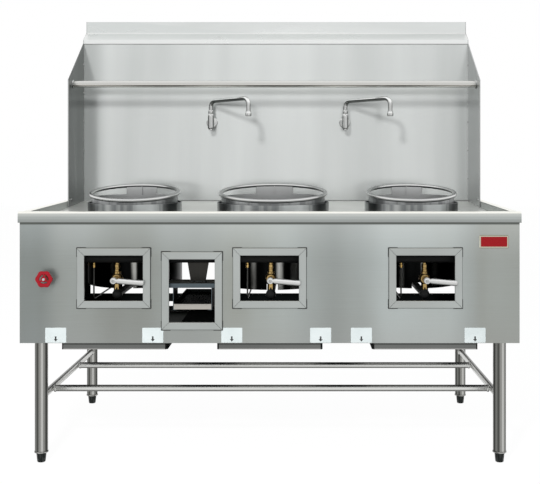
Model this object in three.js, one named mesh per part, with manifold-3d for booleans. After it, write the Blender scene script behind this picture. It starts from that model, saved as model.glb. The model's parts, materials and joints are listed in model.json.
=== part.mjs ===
// Commercial three-station wok range: a steel cabinet on a pipe frame, a pitched top with a
// front gutter, three burner chambers with lift-off wok rings, a splash with a flue, two
// swing faucets, and the gas and water controls behind four framed windows.
// Millimetres. X runs to the right, Y from the front face to the back, Z up from the floor.
import * as THREE from "three";
import { mergeVertices } from "three/addons/utils/BufferGeometryUtils.js";
import Module from "manifold-3d";

const wasm = await Module();
wasm.setup();

// ---------------------------------------------------------------- driving dimensions

// Cabinet
const bodyWidth = 1829;
const bodyDepth = 1041;
const bodyBottom = 462;
const bodyTop = 903;
const sheet = 2; // cabinet sheet
const flange = 24; // folded edges of the cabinet sheets
const seat = 0.3; // clearance between pieces that rest on or against each other
const weld = 2; // depth to which welded pieces run into each other
const over = 1; // cutters run past the faces that they open

// Top: hollow rim, gutter and sloped plate
const rimOverhang = 6;
const rimHeight = 40;
const rimWidth = 36;
const rimSheet = 2.5;
const rimRound = 12; // nose of the rims
const rimSkirt = 18; // inner wall of the side rims below the rim
const topRise = 0.0244; // the whole top climbs to the back by this much for each millimetre
const plateSheet = 2.5;
const plateFrontDrop = 42; // plate below the rim top at the gutter
const plateRise = 0.0579;
const plateNose = 10; // its front edge, folded down inside the gutter
const gutterWidth = 78;
const gutterDepth = 78; // below the rim top

// Splash and flue
const splashFront = 580; // front edge of the side panels
const splashBack = 860; // face of the back panel
const splashSideSheet = 4.2;
const splashLow = 1477; // top of the side panels at their front edge
const splashHigh = 1669; // and at the back panel
const capLap = 4; // cap's lip below the top of the side panels
const capLip = 21;
const capSlopeRun = 69;
const capSlopeRise = 40;
const capRiser = 52;
const capFold = 9;
const backLap = 20; // back panel below the plate
const chaseBottom = 712; // lower edge of the flue casing, above the cabinet's open back
const rackRadius = 15;
const rackBack = 74; // rack tube behind the front edge of the side panels
const rackDrop = 12; // and below the side panels' front corner
const rackCollar = 4;
const rackCollarStep = 4;

// Wok stations
const stationPitch = 570;
const stationBack = 440; // centre of the chambers behind the front face
const chamberRadii = [192, 230.5, 192];
const chamberWall = 3;
const chamberDepth = 291; // below the plate at the centre
const collarHeight = 38; // above the plate at the centre
const ledgeDrop = 24;
const ledgeWidth = 24;
const ledgeThick = 4;
const chamberSides = 32;
const ringTube = 8;
const ringInset = 14; // centre line of the ring tube inside the chamber's outer wall
const ringRise = 43; // ring climbs this much from front to back
const ringClear = 17; // band inside the chamber's outer wall
const bandWall = 4;
const bandRise = 22; // band above the collar
const plateSpan = THREE.MathUtils.degToRad(44);
const ringRib = 7;
const ribThick = 3;
const ringDrop = 6; // ring's centre line below the top of the band in front

// Burners
const burnerRadius = 74;
const burnerThick = 20;
const burnerSeat = 38; // bracket tops above the chamber's bottom edge
const bracketWidth = 30;
const bracketThick = 5;
const bracketReach = 14; // brackets under the burner's edge
const burnerBevelRun = 12;
const burnerBevelDrop = 8;
const burnerStub = 8; // gas socket under the burner
const stubWall = 5;
const jetRadius = 6.5;
const jetHeight = 22;
const jetInset = 18; // outer ring of jets inside the burner's edge
const jetCounts = [1, 4, 8]; // middle, inner ring and outer ring

// Windows in the front: centre, width and height of the clear opening
const windowHeight = 165;
const windowWidth = 214;
const windowLift = 7; // centre above the lever pivots
const drainWindowShift = 1; // right of the middle between two stations
const drainWindowWidth = 167;
const drainWindowHeight = 230;
const drainWindowDrop = 209; // centre below the gutter
const trimWidth = 27;
const trimThick = 8;
const trimRound = 3;
const trimLap = 8; // trim over the edge of the cut-out

// Gas train
const trainBack = 50; // pipes behind the front face
const trainShift = 3; // valve to the right of its window's centre
const manifoldDrop = 90.5; // manifold's axis below the gutter
const manifoldRadius = 21;
const manifoldInset = 214.5; // its capped end inside the cabinet's left side
const manifoldCap = 28;
const capWall = 4;
const capPast = 10; // cap past the pipe's end
const inletInset = 94.5; // gas inlet inside the cabinet's right side
const inletBend = 45;
const portClear = 2; // around the gas pipe in the casing
const nippleRadius = 8;
const valveDrop = 79; // lever pivot below the manifold's axis
const valveRadius = 21;
const valveCollar = 13;
const valveCollarHeight = 26; // above the lever pivot
const valveNut = 11;
const valveNutSpan = [24, 52];
const bonnetRadius = 12;
const bonnetLength = 14; // in front of the valve's ball
const unionRadius = 12;
const gasDrop = 59; // gas pipe below the lever pivot
const gasRadius = 13.4;
const gasClear = 8; // chamber's notch over the pipe, and on both sides
const elbowRadius = 19;
const elbowCollar = 17;
const elbowCollarReach = 6;
const gasBend = 24;
const stemRadius = 6;
const leverFront = 22; // lever axis in front of the face
const leverRadius = 9;
const leverLength = 112;
const leverNeck = 6.5;
const leverNeckLength = 16;
const leverTaper = [12, 22];
const leverTip = 4;
const leverDroop = THREE.MathUtils.degToRad(5);
const leverHub = 12;
const leverHubLength = 16;
const pilotShift = -84; // pilot fitting from its window's centre
const pilotRadius = 3;
const pilotDrop = 33.5; // pilot valve below the manifold's axis
const pilotValve = 6.5;
const pilotValveLength = 14;
const pilotNipple = 5;
const pilotBend = 14;

// Drip trays, their runners and the base frame
const frameBar = 30;
const frameHeight = 34;
const padWidth = 96.6; // plates over the legs
const padThick = 5;
const trayWidth = 382;
const trayDepth = 850;
const trayHeight = 23;
const traySheet = 1.6;
const trayFront = 5;
const trayLip = 14;
const trayGap = 1; // tray's rim below the cabinet's edge
const traySlack = 0.6; // sideways, to each runner
const runnerSheet = 2.5;
const runnerFoot = 13;

// Drain sump and strainer tray
const sumpShift = 13; // sump centre from the drain window's centre
const sumpTop = 115; // chute's width at the gutter
const sumpBottom = 54;
const sumpDepth = 28;
const sumpHeight = 184;
const sumpSheet = 2;
const drainInset = 4; // drain slot inside the chute
const shelfWidth = 190;
const shelfDepth = 120;
const shelfFlange = 16;
const strainerWidth = 138;
const strainerDepth = 400;
const strainerHeight = 21;
const strainerFront = 14; // tray and shelf behind the front face
const strainerDrop = 74; // tray's rim below the chute's shelf
const strainerPull = 10;
const strainerPullWidth = 134;

// Water control
const wheelInset = 98.5; // inside the cabinet's left side
const wheelHeight = 700;
const wheelTip = 32;
const wheelRoot = 27.5;
const wheelThick = 8;
const wheelFront = 36; // middle of the wheel in front of the face
const wheelHub = 11;
const wheelHubFront = 8; // hub in front of and behind the wheel's middle
const wheelHubBack = 16;
const wheelLobes = 6;
const wheelBevel = 1.5;
const wheelSpokes = 3;
const spokeWindow = THREE.MathUtils.degToRad(76); // outer arc of each opening between spokes
const spokeRim = 6;
const waterBack = 49.5; // water pipe behind the front face
const waterPipe = 9;
const waterBody = 15;
const waterBodyReach = 12; // valve body behind the water pipe's axis
const waterFlange = 20;
const waterFlangeThick = 6;
const waterNut = 13;
const waterNutThick = 7;

// Swing faucets
const faucetX = [-292, 316];
const faucetHeight = 1306;
const faucetReach = 60; // spout axis in front of the back panel
const faucetRadius = 14;
const faucetFlange = 25;
const faucetFlangeThick = 7;
const faucetArm = 12;
const faucetBelow = 30; // body below and above its arm
const faucetAbove = 38;
const faucetCap = 10;
const faucetCapHeight = 6;
const spoutRadius = 7;
const spoutRise = 57; // level run above the body
const spoutLength = 283;
const spoutDrop = 75;
const spoutBend = 22;
const spoutNut = 13;
const spoutNutHeight = 15.7;
const spoutTip = 12;
const spoutTipAbove = 16;
const spoutTipBelow = 4;
const spoutSwing = THREE.MathUtils.degToRad(-50);

// Legs and feet
const legInset = 54.5; // leg axis inside the cabinet's side
const legFront = 90;
const legBack = 101; // rear legs inside the cabinet's back
const legRadius = 24.15;
const railHeight = 242;
const railRadius = 12.7;
const crossBars = [230, 640];
const collarLength = 7;
const collarLift = 1.8;
const footHeight = 42;
const footFlange = 26;
const footFlangeThick = 6;
const footRadius = 18.5;
const footNeck = 2; // straight part under the flange
const footTip = 13;
const footTipRound = 2.5;
const footStem = 8;
const footStemLength = 70;
const stemClear = 1; // around the stem inside the leg
const stemRoom = 3; // above its end

// ---------------------------------------------------------------- helpers

const sideX = bodyWidth / 2;
const lipX = sideX + rimOverhang;
const wallX = lipX - rimWidth; // inner wall of the side rims
const wallY = rimWidth - rimOverhang; // inner wall of the front rim
const rimTop = (y) => bodyTop + rimHeight + topRise * y;
const gutterBack = wallY + gutterWidth;
const plateTop = (y) => rimTop(gutterBack) - plateFrontDrop + plateRise * (y - gutterBack);
const stations = ["left", "middle", "right"].map((side, i) => {
  return { side, x: (i - 1) * stationPitch, radius: chamberRadii[i] };
});
const stationHeight = plateTop(stationBack);
const gutterFloor = rimTop(0) - gutterDepth;
const gutterUnder = gutterFloor - plateSheet;
const manifoldHeight = gutterUnder - manifoldDrop;
const valveHeight = manifoldHeight - valveDrop;
const gasHeight = valveHeight - gasDrop;
const pilotHeight = manifoldHeight - pilotDrop;
const drainWindowX = drainWindowShift - stationPitch / 2;
const shelfTop = gutterUnder - seat - sumpHeight;
const inletX = sideX - inletInset;
const wheelX = wheelInset - sideX;
const capBottom = splashHigh - capLap;
const frameTop = bodyBottom + sheet + seat + frameHeight;

function inOrder(a, b) {
  return [Math.min(a, b), Math.max(a, b)];
}

function span(centre, length) {
  return [centre - length / 2, centre + length / 2];
}

// A closed geometry as a solid that can be joined and cut.
function solid(geometry) {
  const bare = geometry.clone();
  bare.deleteAttribute("normal");
  bare.deleteAttribute("uv");
  const merged = mergeVertices(bare, 1e-4);
  const vertProperties = new Float32Array(merged.attributes.position.array);
  const corners = [];
  for (let i = 0; i < merged.index.count; i += 3) {
    const [a, b, c] = merged.index.array.slice(i, i + 3);
    if (a !== b && b !== c && c !== a) corners.push(a, b, c);
  }
  const triVerts = new Uint32Array(corners);
  const made = new wasm.Manifold(new wasm.Mesh({ numProp: 3, vertProperties, triVerts }));
  if (made.volume() > 0) return made;
  triVerts.reverse();
  return new wasm.Manifold(new wasm.Mesh({ numProp: 3, vertProperties, triVerts }));
}

function joined(first, ...others) {
  return others.reduce((whole, next) => whole.add(next), first);
}

function cut(first, ...others) {
  return others.reduce((whole, next) => whole.subtract(next), first);
}

// A solid as a geometry with flat faces.
function faces(shape) {
  const mesh = shape.getMesh();
  const points = [];
  for (let i = 0; i < mesh.numVert; i++) {
    const start = i * mesh.numProp;
    points.push(...mesh.vertProperties.subarray(start, start + 3));
  }
  const geometry = new THREE.BufferGeometry();
  geometry.setAttribute("position", new THREE.Float32BufferAttribute(points, 3));
  geometry.setIndex([...mesh.triVerts]);
  const flat = geometry.toNonIndexed();
  flat.computeVertexNormals();
  return flat;
}

function block([x0, x1], [y0, y1], [z0, z1]) {
  const box = new THREE.BoxGeometry(x1 - x0, y1 - y0, z1 - z0);
  return solid(box.translate((x0 + x1) / 2, (y0 + y1) / 2, (z0 + z1) / 2));
}

function outline(points) {
  return new THREE.Shape(points.map(([u, v]) => new THREE.Vector2(u, v)));
}

// An outline in (Y, Z) drawn out along X.
function alongX(points, x0, x1) {
  const body = new THREE.ExtrudeGeometry(outline(points), { depth: x1 - x0, bevelEnabled: false });
  const axes = new THREE.Matrix4().set(0, 0, 1, x0, 1, 0, 0, 0, 0, 1, 0, 0, 0, 0, 0, 1);
  return solid(body.applyMatrix4(axes));
}

// An outline in (X, Z) drawn out along Y.
function alongY(points, y0, y1) {
  const body = new THREE.ExtrudeGeometry(outline(points), { depth: y1 - y0, bevelEnabled: false });
  const axes = new THREE.Matrix4().set(1, 0, 0, 0, 0, 0, -1, y1, 0, 1, 0, 0, 0, 0, 0, 1);
  return solid(body.applyMatrix4(axes));
}

// A round bar between two points.
function rod(radius, from, to, sides = 16, endRadius = radius) {
  const a = new THREE.Vector3(...from);
  const b = new THREE.Vector3(...to);
  const bar = new THREE.CylinderGeometry(endRadius, radius, a.distanceTo(b), sides);
  const turn = new THREE.Quaternion().setFromUnitVectors(
    new THREE.Vector3(0, 1, 0),
    b.clone().sub(a).normalize(),
  );
  const middle = a.clone().add(b).multiplyScalar(0.5);
  return solid(bar.applyQuaternion(turn).translate(middle.x, middle.y, middle.z));
}

// A profile of (radius, height) pairs turned about the Z axis through (x, y).
function turned(profile, x, y, sides = 24) {
  const points = profile.map(([r, z]) => new THREE.Vector2(r, z));
  const body = new THREE.LatheGeometry(points, sides).rotateX(Math.PI / 2);
  return solid(body.translate(x, y, 0));
}

// Straight runs joined by round bends, sampled only where the direction changes.
class Route extends THREE.Curve {
  constructor(corners, bend, bendSteps = 3) {
    super();
    const points = corners.map((corner) => new THREE.Vector3(...corner));
    this.stops = [{ at: points[0], to: points[1].clone().sub(points[0]).normalize() }];
    for (let i = 1; i < points.length - 1; i++) {
      const before = points[i].clone().sub(points[i - 1]).normalize();
      const after = points[i + 1].clone().sub(points[i]).normalize();
      const angle = before.angleTo(after);
      const setback = bend * Math.tan(angle / 2);
      const start = points[i].clone().addScaledVector(before, -setback);
      const side = after.clone().addScaledVector(before, -Math.cos(angle)).normalize();
      for (let step = 0; step <= bendSteps; step++) {
        const turn = (angle * step) / bendSteps;
        const at = start.clone().addScaledVector(before, bend * Math.sin(turn));
        at.addScaledVector(side, bend * (1 - Math.cos(turn)));
        const to = before.clone().multiplyScalar(Math.cos(turn));
        this.stops.push({ at, to: to.addScaledVector(side, Math.sin(turn)) });
      }
    }
    const last = points[points.length - 1];
    this.stops.push({ at: last, to: last.clone().sub(points[points.length - 2]).normalize() });
  }
  stop(u) {
    return this.stops[Math.round(u * (this.stops.length - 1))];
  }
  getPointAt(u) {
    return this.stop(u).at.clone();
  }
  getTangentAt(u) {
    return this.stop(u).to.clone();
  }
}

function tube(corners, radius, bend, sides = 12) {
  const section = new THREE.Shape();
  for (let i = 0; i < sides; i++) {
    const angle = (2 * Math.PI * i) / sides;
    const place = [radius * Math.cos(angle), radius * Math.sin(angle)];
    if (i === 0) section.moveTo(...place);
    else section.lineTo(...place);
  }
  section.closePath();
  const route = new Route(corners, bend);
  const steps = route.stops.length - 1;
  return solid(new THREE.ExtrudeGeometry(section, { steps, extrudePath: route }));
}

const range = new THREE.Group();

function piece(name, shape, material, parent = range) {
  const mesh = new THREE.Mesh(faces(shape), material);
  mesh.name = name;
  parent.add(mesh);
  return mesh;
}

// ---------------------------------------------------------------- finishes

function finish(color, roughness, metalness) {
  return new THREE.MeshStandardMaterial({ color, roughness, metalness });
}
const steel = finish(0xa3a9a8, 0.38, 1);
const splashSteel = finish(0xc9cccb, 0.3, 1);
const trimSteel = finish(0xb9bdbc, 0.3, 1);
const pipeSteel = finish(0x97938d, 0.3, 1);
const polished = finish(0xd5d7d8, 0.12, 1);
const darkSteel = finish(0x565a59, 0.45, 1);
const blackIron = finish(0x1d1e1f, 0.55, 0.6);
const castIron = finish(0x2b2b2b, 0.7, 0.5);
const brass = finish(0xb08d4c, 0.35, 1);
const redPaint = finish(0xb3141c, 0.3, 0);

// ---------------------------------------------------------------- cabinet

const windows = [
  ...stations.map(({ side, x }) => {
    return { side, x, z: valveHeight + windowLift, width: windowWidth, height: windowHeight };
  }),
  {
    side: "drain",
    x: drainWindowX,
    z: gutterUnder - drainWindowDrop,
    width: drainWindowWidth,
    height: drainWindowHeight,
  },
];

// Outline of a rim in (distance from its outer face, height), level at the front: the outside, or
// the hollow when it is set in by the sheet.
function rimOutline(inset, low) {
  const top = bodyTop + rimHeight;
  const radius = rimRound - inset;
  const steps = 4;
  const nose = Array.from({ length: steps + 1 }, (_, i) => {
    const angle = (Math.PI / 2) * (i / steps);
    return [rimRound - radius * Math.cos(angle), top - rimRound + radius * Math.sin(angle)];
  });
  return [[inset, low], ...nose, [rimWidth - inset, top - inset], [rimWidth - inset, low]];
}
const rimBar = rimOutline(0, bodyTop);
const rimHollow = rimOutline(rimSheet, bodyTop - over);

// The cabinet's sheets stand up inside the rims as far as the round nose lets them.
const noseRoom = (rimRound - rimSheet - 2 * seat) ** 2 - (rimRound - rimOverhang) ** 2;
const panelTop = (y) => rimTop(y) - rimRound + Math.sqrt(noseRoom);

function frontPanel() {
  const half = sideX - sheet - seat;
  const face = block([-sideX, sideX], [0, sheet], [bodyBottom, bodyTop - seat]);
  const neck = block([-half, half], [0, sheet], [bodyTop - seat - sheet, panelTop(0)]);
  const foot = block([-half, half], [0, flange], [bodyBottom, bodyBottom + sheet]);
  const head = block([-half, half], [0, flange], [panelTop(0) - sheet, panelTop(0)]);
  const openings = windows.map(({ x, z, width, height }) =>
    block(span(x, width + 2 * trimLap), [-over, sheet + over], span(z, height + 2 * trimLap)),
  );
  const stemAt = (y) => [wheelX, y, wheelHeight];
  const stemHole = rod(stemRadius + stemClear, stemAt(-over), stemAt(sheet + over));
  return cut(joined(face, neck, foot, head), ...openings, stemHole);
}

function sidePanel(side) {
  const xs = inOrder(side * sideX, side * (sideX - sheet));
  const foldXs = inOrder(side * sideX, side * (sideX - flange));
  const front = sheet + seat;
  const back = bodyDepth - rimSheet - seat;
  const raised = wallY + seat + rimSheet + seat;
  const wall = alongX(
    [
      [front, bodyBottom],
      [bodyDepth, bodyBottom],
      [bodyDepth, bodyTop + topRise * bodyDepth - seat],
      [back, bodyTop + topRise * back - seat],
      [back, panelTop(back)],
      [raised, panelTop(raised)],
      [raised, bodyTop - seat],
      [front, bodyTop - seat],
    ],
    ...xs,
  );
  const foot = block(foldXs, [flange + seat, bodyDepth], [bodyBottom, bodyBottom + sheet]);
  const rear = block(foldXs, [bodyDepth - sheet, bodyDepth], [bodyBottom, bodyTop]);
  return joined(wall, foot, rear);
}

piece("front_panel", frontPanel(), steel);
piece("side_panel_left", sidePanel(-1), steel);
piece("side_panel_right", sidePanel(1), steel);

// Each trim is a mitred frame with rounded edges, lapped over the edge of its cut-out.
function windowTrim({ x, z, width, height }) {
  const frame = new THREE.Shape();
  const corner = (path, w, h) => {
    path.moveTo(-w / 2, -h / 2).lineTo(w / 2, -h / 2).lineTo(w / 2, h / 2).lineTo(-w / 2, h / 2);
    path.closePath();
  };
  const inset = trimWidth - trimRound;
  corner(frame, width + 2 * inset, height + 2 * inset);
  const hole = new THREE.Path();
  corner(hole, width + 2 * trimRound, height + 2 * trimRound);
  frame.holes.push(hole);
  const body = new THREE.ExtrudeGeometry(frame, {
    depth: trimThick - trimRound,
    bevelThickness: trimRound,
    bevelSize: trimRound,
    bevelSegments: 2,
  });
  body.rotateX(Math.PI / 2).translate(x, 0, z);
  return cut(solid(body), block([x - width, x + width], [-seat, trimThick], [z - height, z + height]));
}
windows.forEach((window) => piece("trim_" + window.side, windowTrim(window), trimSteel));

// Base frame inside the cabinet's foot: its bottom sheet is open over the three drip trays, whose
// runners hang under it.
const trayBase = bodyBottom - trayGap - trayHeight;
const legX = sideX - legInset;
const legYs = [legFront, bodyDepth - legBack];

function baseFrame() {
  const half = sideX - sheet - seat;
  const ends = [sheet + seat, bodyDepth - sheet - seat];
  const heights = [frameTop - frameHeight, frameTop];
  const box = block([-half, half], ends, heights);
  const insideXs = [frameBar - half, half - frameBar];
  const insideYs = [ends[0] + frameBar, ends[1] - frameBar];
  const ring = cut(box, block(insideXs, insideYs, [0, frameTop + over]));
  const bayWidth = trayWidth + 2 * traySlack + runnerSheet; // to the middle of the runners' sheet
  const bottom = cut(
    block([-half, half], ends, [heights[0], heights[0] + sheet]),
    ...stations.map(({ x }) => block(span(x, bayWidth), insideYs, [0, frameTop])),
  );
  const pads = [-1, 1].flatMap((side) =>
    legYs.map((y) =>
      block(span(side * legX, padWidth), span(y, padWidth), [heights[0], heights[0] + padThick]),
    ),
  );
  const foot = trayBase - seat;
  const walls = [foot - runnerSheet, heights[0] + weld];
  const runners = stations.flatMap(({ x }) =>
    [-1, 1].map((side) => {
      const inside = x + side * (trayWidth / 2 + traySlack);
      const outside = inside + side * runnerSheet;
      const toe = inside - side * runnerFoot;
      const ys = [flange + seat, ends[1]];
      return joined(
        block(inOrder(inside, outside), ys, walls),
        block(inOrder(toe, outside), ys, [foot - runnerSheet, foot]),
      );
    }),
  );
  const stops = stations.map(({ x }) => {
    const back = trayFront + trayDepth + seat;
    const width = trayWidth + 2 * (traySlack + runnerSheet);
    return block(span(x, width), [back, back + runnerSheet], walls);
  });
  return joined(ring, bottom, ...pads.map((pad) => pad.intersect(box)), ...runners, ...stops);
}
piece("base_frame", baseFrame(), darkSteel);

function dripTray({ x }) {
  const trayTop = trayBase + trayHeight;
  const ys = [trayFront, trayFront + trayDepth];
  const outer = block(span(x, trayWidth), ys, [trayBase, trayTop]);
  const well = block(
    span(x, trayWidth - 2 * traySheet),
    [ys[0] + traySheet, ys[1] - traySheet],
    [trayBase + traySheet, trayTop + over],
  );
  const lip = block(span(x, trayWidth), [ys[0], ys[0] + trayLip], [trayTop - traySheet, trayTop]);
  return joined(cut(outer, well), lip);
}
stations.forEach((station) => piece("drip_tray_" + station.side, dripTray(station), darkSteel));

// ---------------------------------------------------------------- top

const climb = new THREE.Matrix4().set(1, 0, 0, 0, 0, 1, 0, 0, 0, topRise, 1, 0, 0, 0, 0, 1);

function frontRim() {
  const place = (points) => points.map(([u, z]) => [u - rimOverhang, z]);
  const bar = alongX(place(rimBar), -lipX, lipX);
  const hollow = alongX(place(rimHollow), rimSheet - lipX, lipX - rimSheet);
  const wall = [wallY - rimSheet, wallY];
  const leg = block([-wallX, wallX], wall, [bodyTop - rimSkirt, bodyTop + rimSheet]);
  return joined(cut(bar, hollow), leg);
}

function sideRim(side) {
  const place = (points) => points.map(([u, z]) => [side * (lipX - u), z]);
  const ends = [wallY + seat, bodyDepth];
  const bar = alongY(place(rimBar), ...ends);
  const hollow = alongY(place(rimHollow), ends[0] + rimSheet, ends[1] - rimSheet);
  const wall = inOrder(side * wallX, side * (wallX + rimSheet));
  const leg = block(wall, ends, [bodyTop - rimSkirt, bodyTop + rimSheet]);
  const level = faces(joined(cut(bar, hollow), leg));
  return solid(level.applyMatrix4(climb));
}

const sumpX = drainWindowX + sumpShift;
const sumpYs = [gutterBack - plateSheet - sumpDepth, gutterBack - plateSheet];
const noseFront = gutterBack - 2 * plateSheet - seat; // folded front edge of the plate
const noseLow = plateTop(noseFront) - plateSheet - plateNose;

function gutter() {
  const half = wallX - seat;
  const back = [gutterBack - plateSheet, gutterBack];
  const trough = block([-half, half], [wallY + seat, gutterBack], [gutterUnder, noseLow - seat]);
  const inner = block(
    [plateSheet - half, half - plateSheet],
    [wallY + seat + plateSheet, back[0]],
    [gutterFloor, bodyTop],
  );
  const wall = block([-half, half], back, [gutterFloor, plateTop(back[0]) - plateSheet - seat]);
  const drain = block(
    span(sumpX, sumpTop - 2 * drainInset),
    [sumpYs[0] + sumpSheet, sumpYs[1] - sumpSheet],
    [gutterUnder - over, gutterFloor + over],
  );
  return joined(cut(trough, inner, drain), wall);
}

// Chambers, burners and wok rings share a frame square to the plate at the chamber's centre.
const stationTilt = Math.atan(topRise);
function stationPoint(x, up) {
  return [x, stationBack - up * Math.sin(stationTilt), stationHeight + up * Math.cos(stationTilt)];
}

function deckPlate() {
  const half = wallX - seat;
  const back = splashBack - seat;
  const plate = alongX(
    [
      [noseFront, noseLow],
      [noseFront + plateSheet, noseLow],
      [noseFront + plateSheet, plateTop(noseFront + plateSheet) - plateSheet],
      [back, plateTop(back) - plateSheet],
      [back, plateTop(back)],
      [noseFront, plateTop(noseFront)],
    ],
    -half,
    half,
  );
  const holes = stations.map(({ x, radius }) => {
    const ends = [-chamberDepth, chamberDepth].map((up) => stationPoint(x, up));
    return rod(radius + seat, ...ends, chamberSides);
  });
  return cut(plate, ...holes);
}

piece("rim_front", frontRim(), steel);
piece("rim_left", sideRim(-1), steel);
piece("rim_right", sideRim(1), steel);
piece("gutter", gutter(), steel);
piece("deck_plate", deckPlate(), steel);

// ---------------------------------------------------------------- splash and flue

function splashSide(side) {
  const back = splashBack - seat;
  const shape = [
    [splashFront, plateTop(splashFront) + seat],
    [back, plateTop(back) + seat],
    [back, splashHigh],
    [splashFront, splashLow],
  ];
  const outer = side * (wallX - seat);
  return alongX(shape, ...inOrder(outer, outer - side * splashSideSheet));
}

const capFront = splashBack - seat - sheet;
const capTop = capBottom + capLip;
const riserTop = capTop + capSlopeRise + capRiser;

function splashBackPanel() {
  const half = wallX - seat;
  const heights = [plateTop(splashBack) - backLap, capTop - sheet];
  return block([-half, half], [splashBack, splashBack + sheet], heights);
}

// The cap is folded from one sheet: a lip over the back panel, a slope, a riser and a hem.
function flueCap() {
  const bend = capFront + capSlopeRun;
  const drop = sheet * Math.hypot(1, capSlopeRise / capSlopeRun);
  const slope = [
    [capFront, capTop - drop],
    [bend + sheet, capTop + capSlopeRise - drop],
    [bend + sheet, riserTop - sheet],
    [bend + capFold, riserTop - sheet],
    [bend + capFold, riserTop],
    [bend, riserTop],
    [bend, capTop + capSlopeRise],
    [capFront, capTop],
  ];
  const wide = wallX - 2 * seat - sheet;
  const narrow = wallX - 2 * seat - splashSideSheet;
  const lip = block([-narrow, narrow], [capFront, capFront + sheet], [capBottom, capTop - drop / 2]);
  return joined(alongX(slope, -wide, wide), lip);
}

// The casing closes the flue behind the back panel: two sides and one tall rear sheet, which ends
// over the cabinet's open back, with a port for the gas pipe.
function chaseCasing() {
  const half = wallX - seat;
  const front = splashBack + sheet + seat;
  const bend = capFront + capSlopeRun;
  const shape = [
    [front, chaseBottom],
    [bodyDepth, chaseBottom],
    [bodyDepth, riserTop],
    [bend, riserTop],
    [bend, capTop + capSlopeRise],
    [front, capTop],
  ];
  const whole = alongX(shape, -half, half);
  const hollow = block([sheet - half, half - sheet], [0, bodyDepth - sheet], [0, riserTop + over]);
  const portAt = (y) => [inletX, y, manifoldHeight];
  return cut(whole, hollow, rod(manifoldRadius + portClear, portAt(0), portAt(bodyDepth + over), 20));
}

piece("splash_side_left", splashSide(-1), splashSteel);
piece("splash_side_right", splashSide(1), splashSteel);
piece("splash_back", splashBackPanel(), splashSteel);
piece("flue_cap", flueCap(), splashSteel);
piece("chase_casing", chaseCasing(), steel);

function pipeRack() {
  const half = wallX - 2 * seat - splashSideSheet;
  const at = (x) => [x, splashFront + rackBack, splashLow - rackDrop];
  const bar = rod(rackRadius, at(-half), at(half), 16);
  const collars = [-1, 1].map((side) =>
    rod(rackRadius + rackCollarStep, at(side * half), at(side * (half - rackCollar)), 16),
  );
  return joined(bar, ...collars);
}
piece("pipe_rack", pipeRack(), pipeSteel);

// ---------------------------------------------------------------- wok stations

// The chamber is an open cylinder hung in the plate: a ledge for the wok ring near its top, two
// brackets for the burner near its foot, and a notch in front for the gas pipe.
const chamberFoot = -chamberDepth;

function chamber({ radius }) {
  const inner = radius - chamberWall;
  const ledge = collarHeight - ledgeDrop;
  const shell = turned(
    [
      [radius, chamberFoot],
      [radius, collarHeight],
      [inner, collarHeight],
      [inner, ledge],
      [inner - ledgeWidth, ledge],
      [inner - ledgeWidth, ledge - ledgeThick],
      [inner, ledge - ledgeThick],
      [inner, chamberFoot],
      [radius, chamberFoot],
    ],
    0,
    0,
    chamberSides,
  );
  const bracketTop = chamberFoot + burnerSeat;
  const brackets = [-1, 1].map((side) => {
    const ends = inOrder(side * (radius - chamberWall / 2), side * (burnerRadius - bracketReach));
    return block(ends, span(0, bracketWidth), [bracketTop - bracketThick, bracketTop]);
  });
  const pipe = gasHeight - stationHeight;
  const reach = gasRadius + gasClear;
  const notch = block(
    span(trainShift, 2 * reach),
    [-radius - over, -radius / 2],
    [Math.min(pipe - reach, chamberFoot - over), pipe + reach],
  );
  return cut(joined(shell, ...brackets), notch);
}

// A low band stands on the ledge. The ring bar is welded to it in front, climbs to the back and
// is carried there by one upright plate, so that the flame's exhaust leaves on both sides of it.
function wokRing({ radius }) {
  const outer = radius - ringClear;
  const inner = outer - bandWall;
  const foot = collarHeight - ledgeDrop + seat;
  const top = collarHeight + bandRise;
  const band = turned(
    [[outer, foot], [outer, top], [inner, top], [inner, foot], [outer, foot]],
    0,
    0,
    chamberSides,
  );
  const line = radius - ringInset;
  const front = top - ringDrop;
  const ringTilt = Math.asin(ringRise / (2 * line));
  const ring = new THREE.TorusGeometry(line, ringTube, 8, chamberSides).rotateX(ringTilt);
  const wall = new THREE.Shape();
  const start = Math.PI / 2 - plateSpan / 2;
  wall.absarc(0, 0, outer, start, start + plateSpan, false);
  wall.absarc(0, 0, inner, start + plateSpan, start, true);
  const low = top - weld;
  const upright = new THREE.ExtrudeGeometry(wall, {
    depth: front + ringRise - low,
    bevelEnabled: false,
    curveSegments: 8,
  });
  const rib = block(span(0, ribThick), [inner - ringRib, inner + over], [low, front + ringRise - weld]);
  return joined(
    band,
    solid(upright.translate(0, 0, low)),
    solid(ring.translate(0, 0, front + ringRise / 2)),
    rib,
  );
}

// Cast burner: a bevelled disc on the brackets with rings of brass-tipped jets on top.
const burnerFoot = chamberFoot + burnerSeat + seat;
function burner() {
  const top = burnerFoot + burnerThick;
  const disc = turned(
    [
      [0, burnerFoot],
      [burnerRadius, burnerFoot],
      [burnerRadius, top - burnerBevelDrop],
      [burnerRadius - burnerBevelRun, top],
      [0, top],
    ],
    0,
    0,
    24,
  );
  const jets = jetCounts.flatMap((count, ring) =>
    Array.from({ length: count }, (_, i) => {
      const circle = ((burnerRadius - jetInset) * ring) / (jetCounts.length - 1);
      const angle = (2 * Math.PI * i) / count;
      const at = [circle * Math.cos(angle), circle * Math.sin(angle)];
      return rod(jetRadius, [...at, top - weld], [...at, top + jetHeight], 6);
    }),
  );
  const stubAt = (up) => [trainShift, 0, burnerFoot + up];
  const stub = rod(gasRadius + stubWall, stubAt(-burnerStub), stubAt(weld));
  return joined(disc, stub, ...jets);
}

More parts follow.
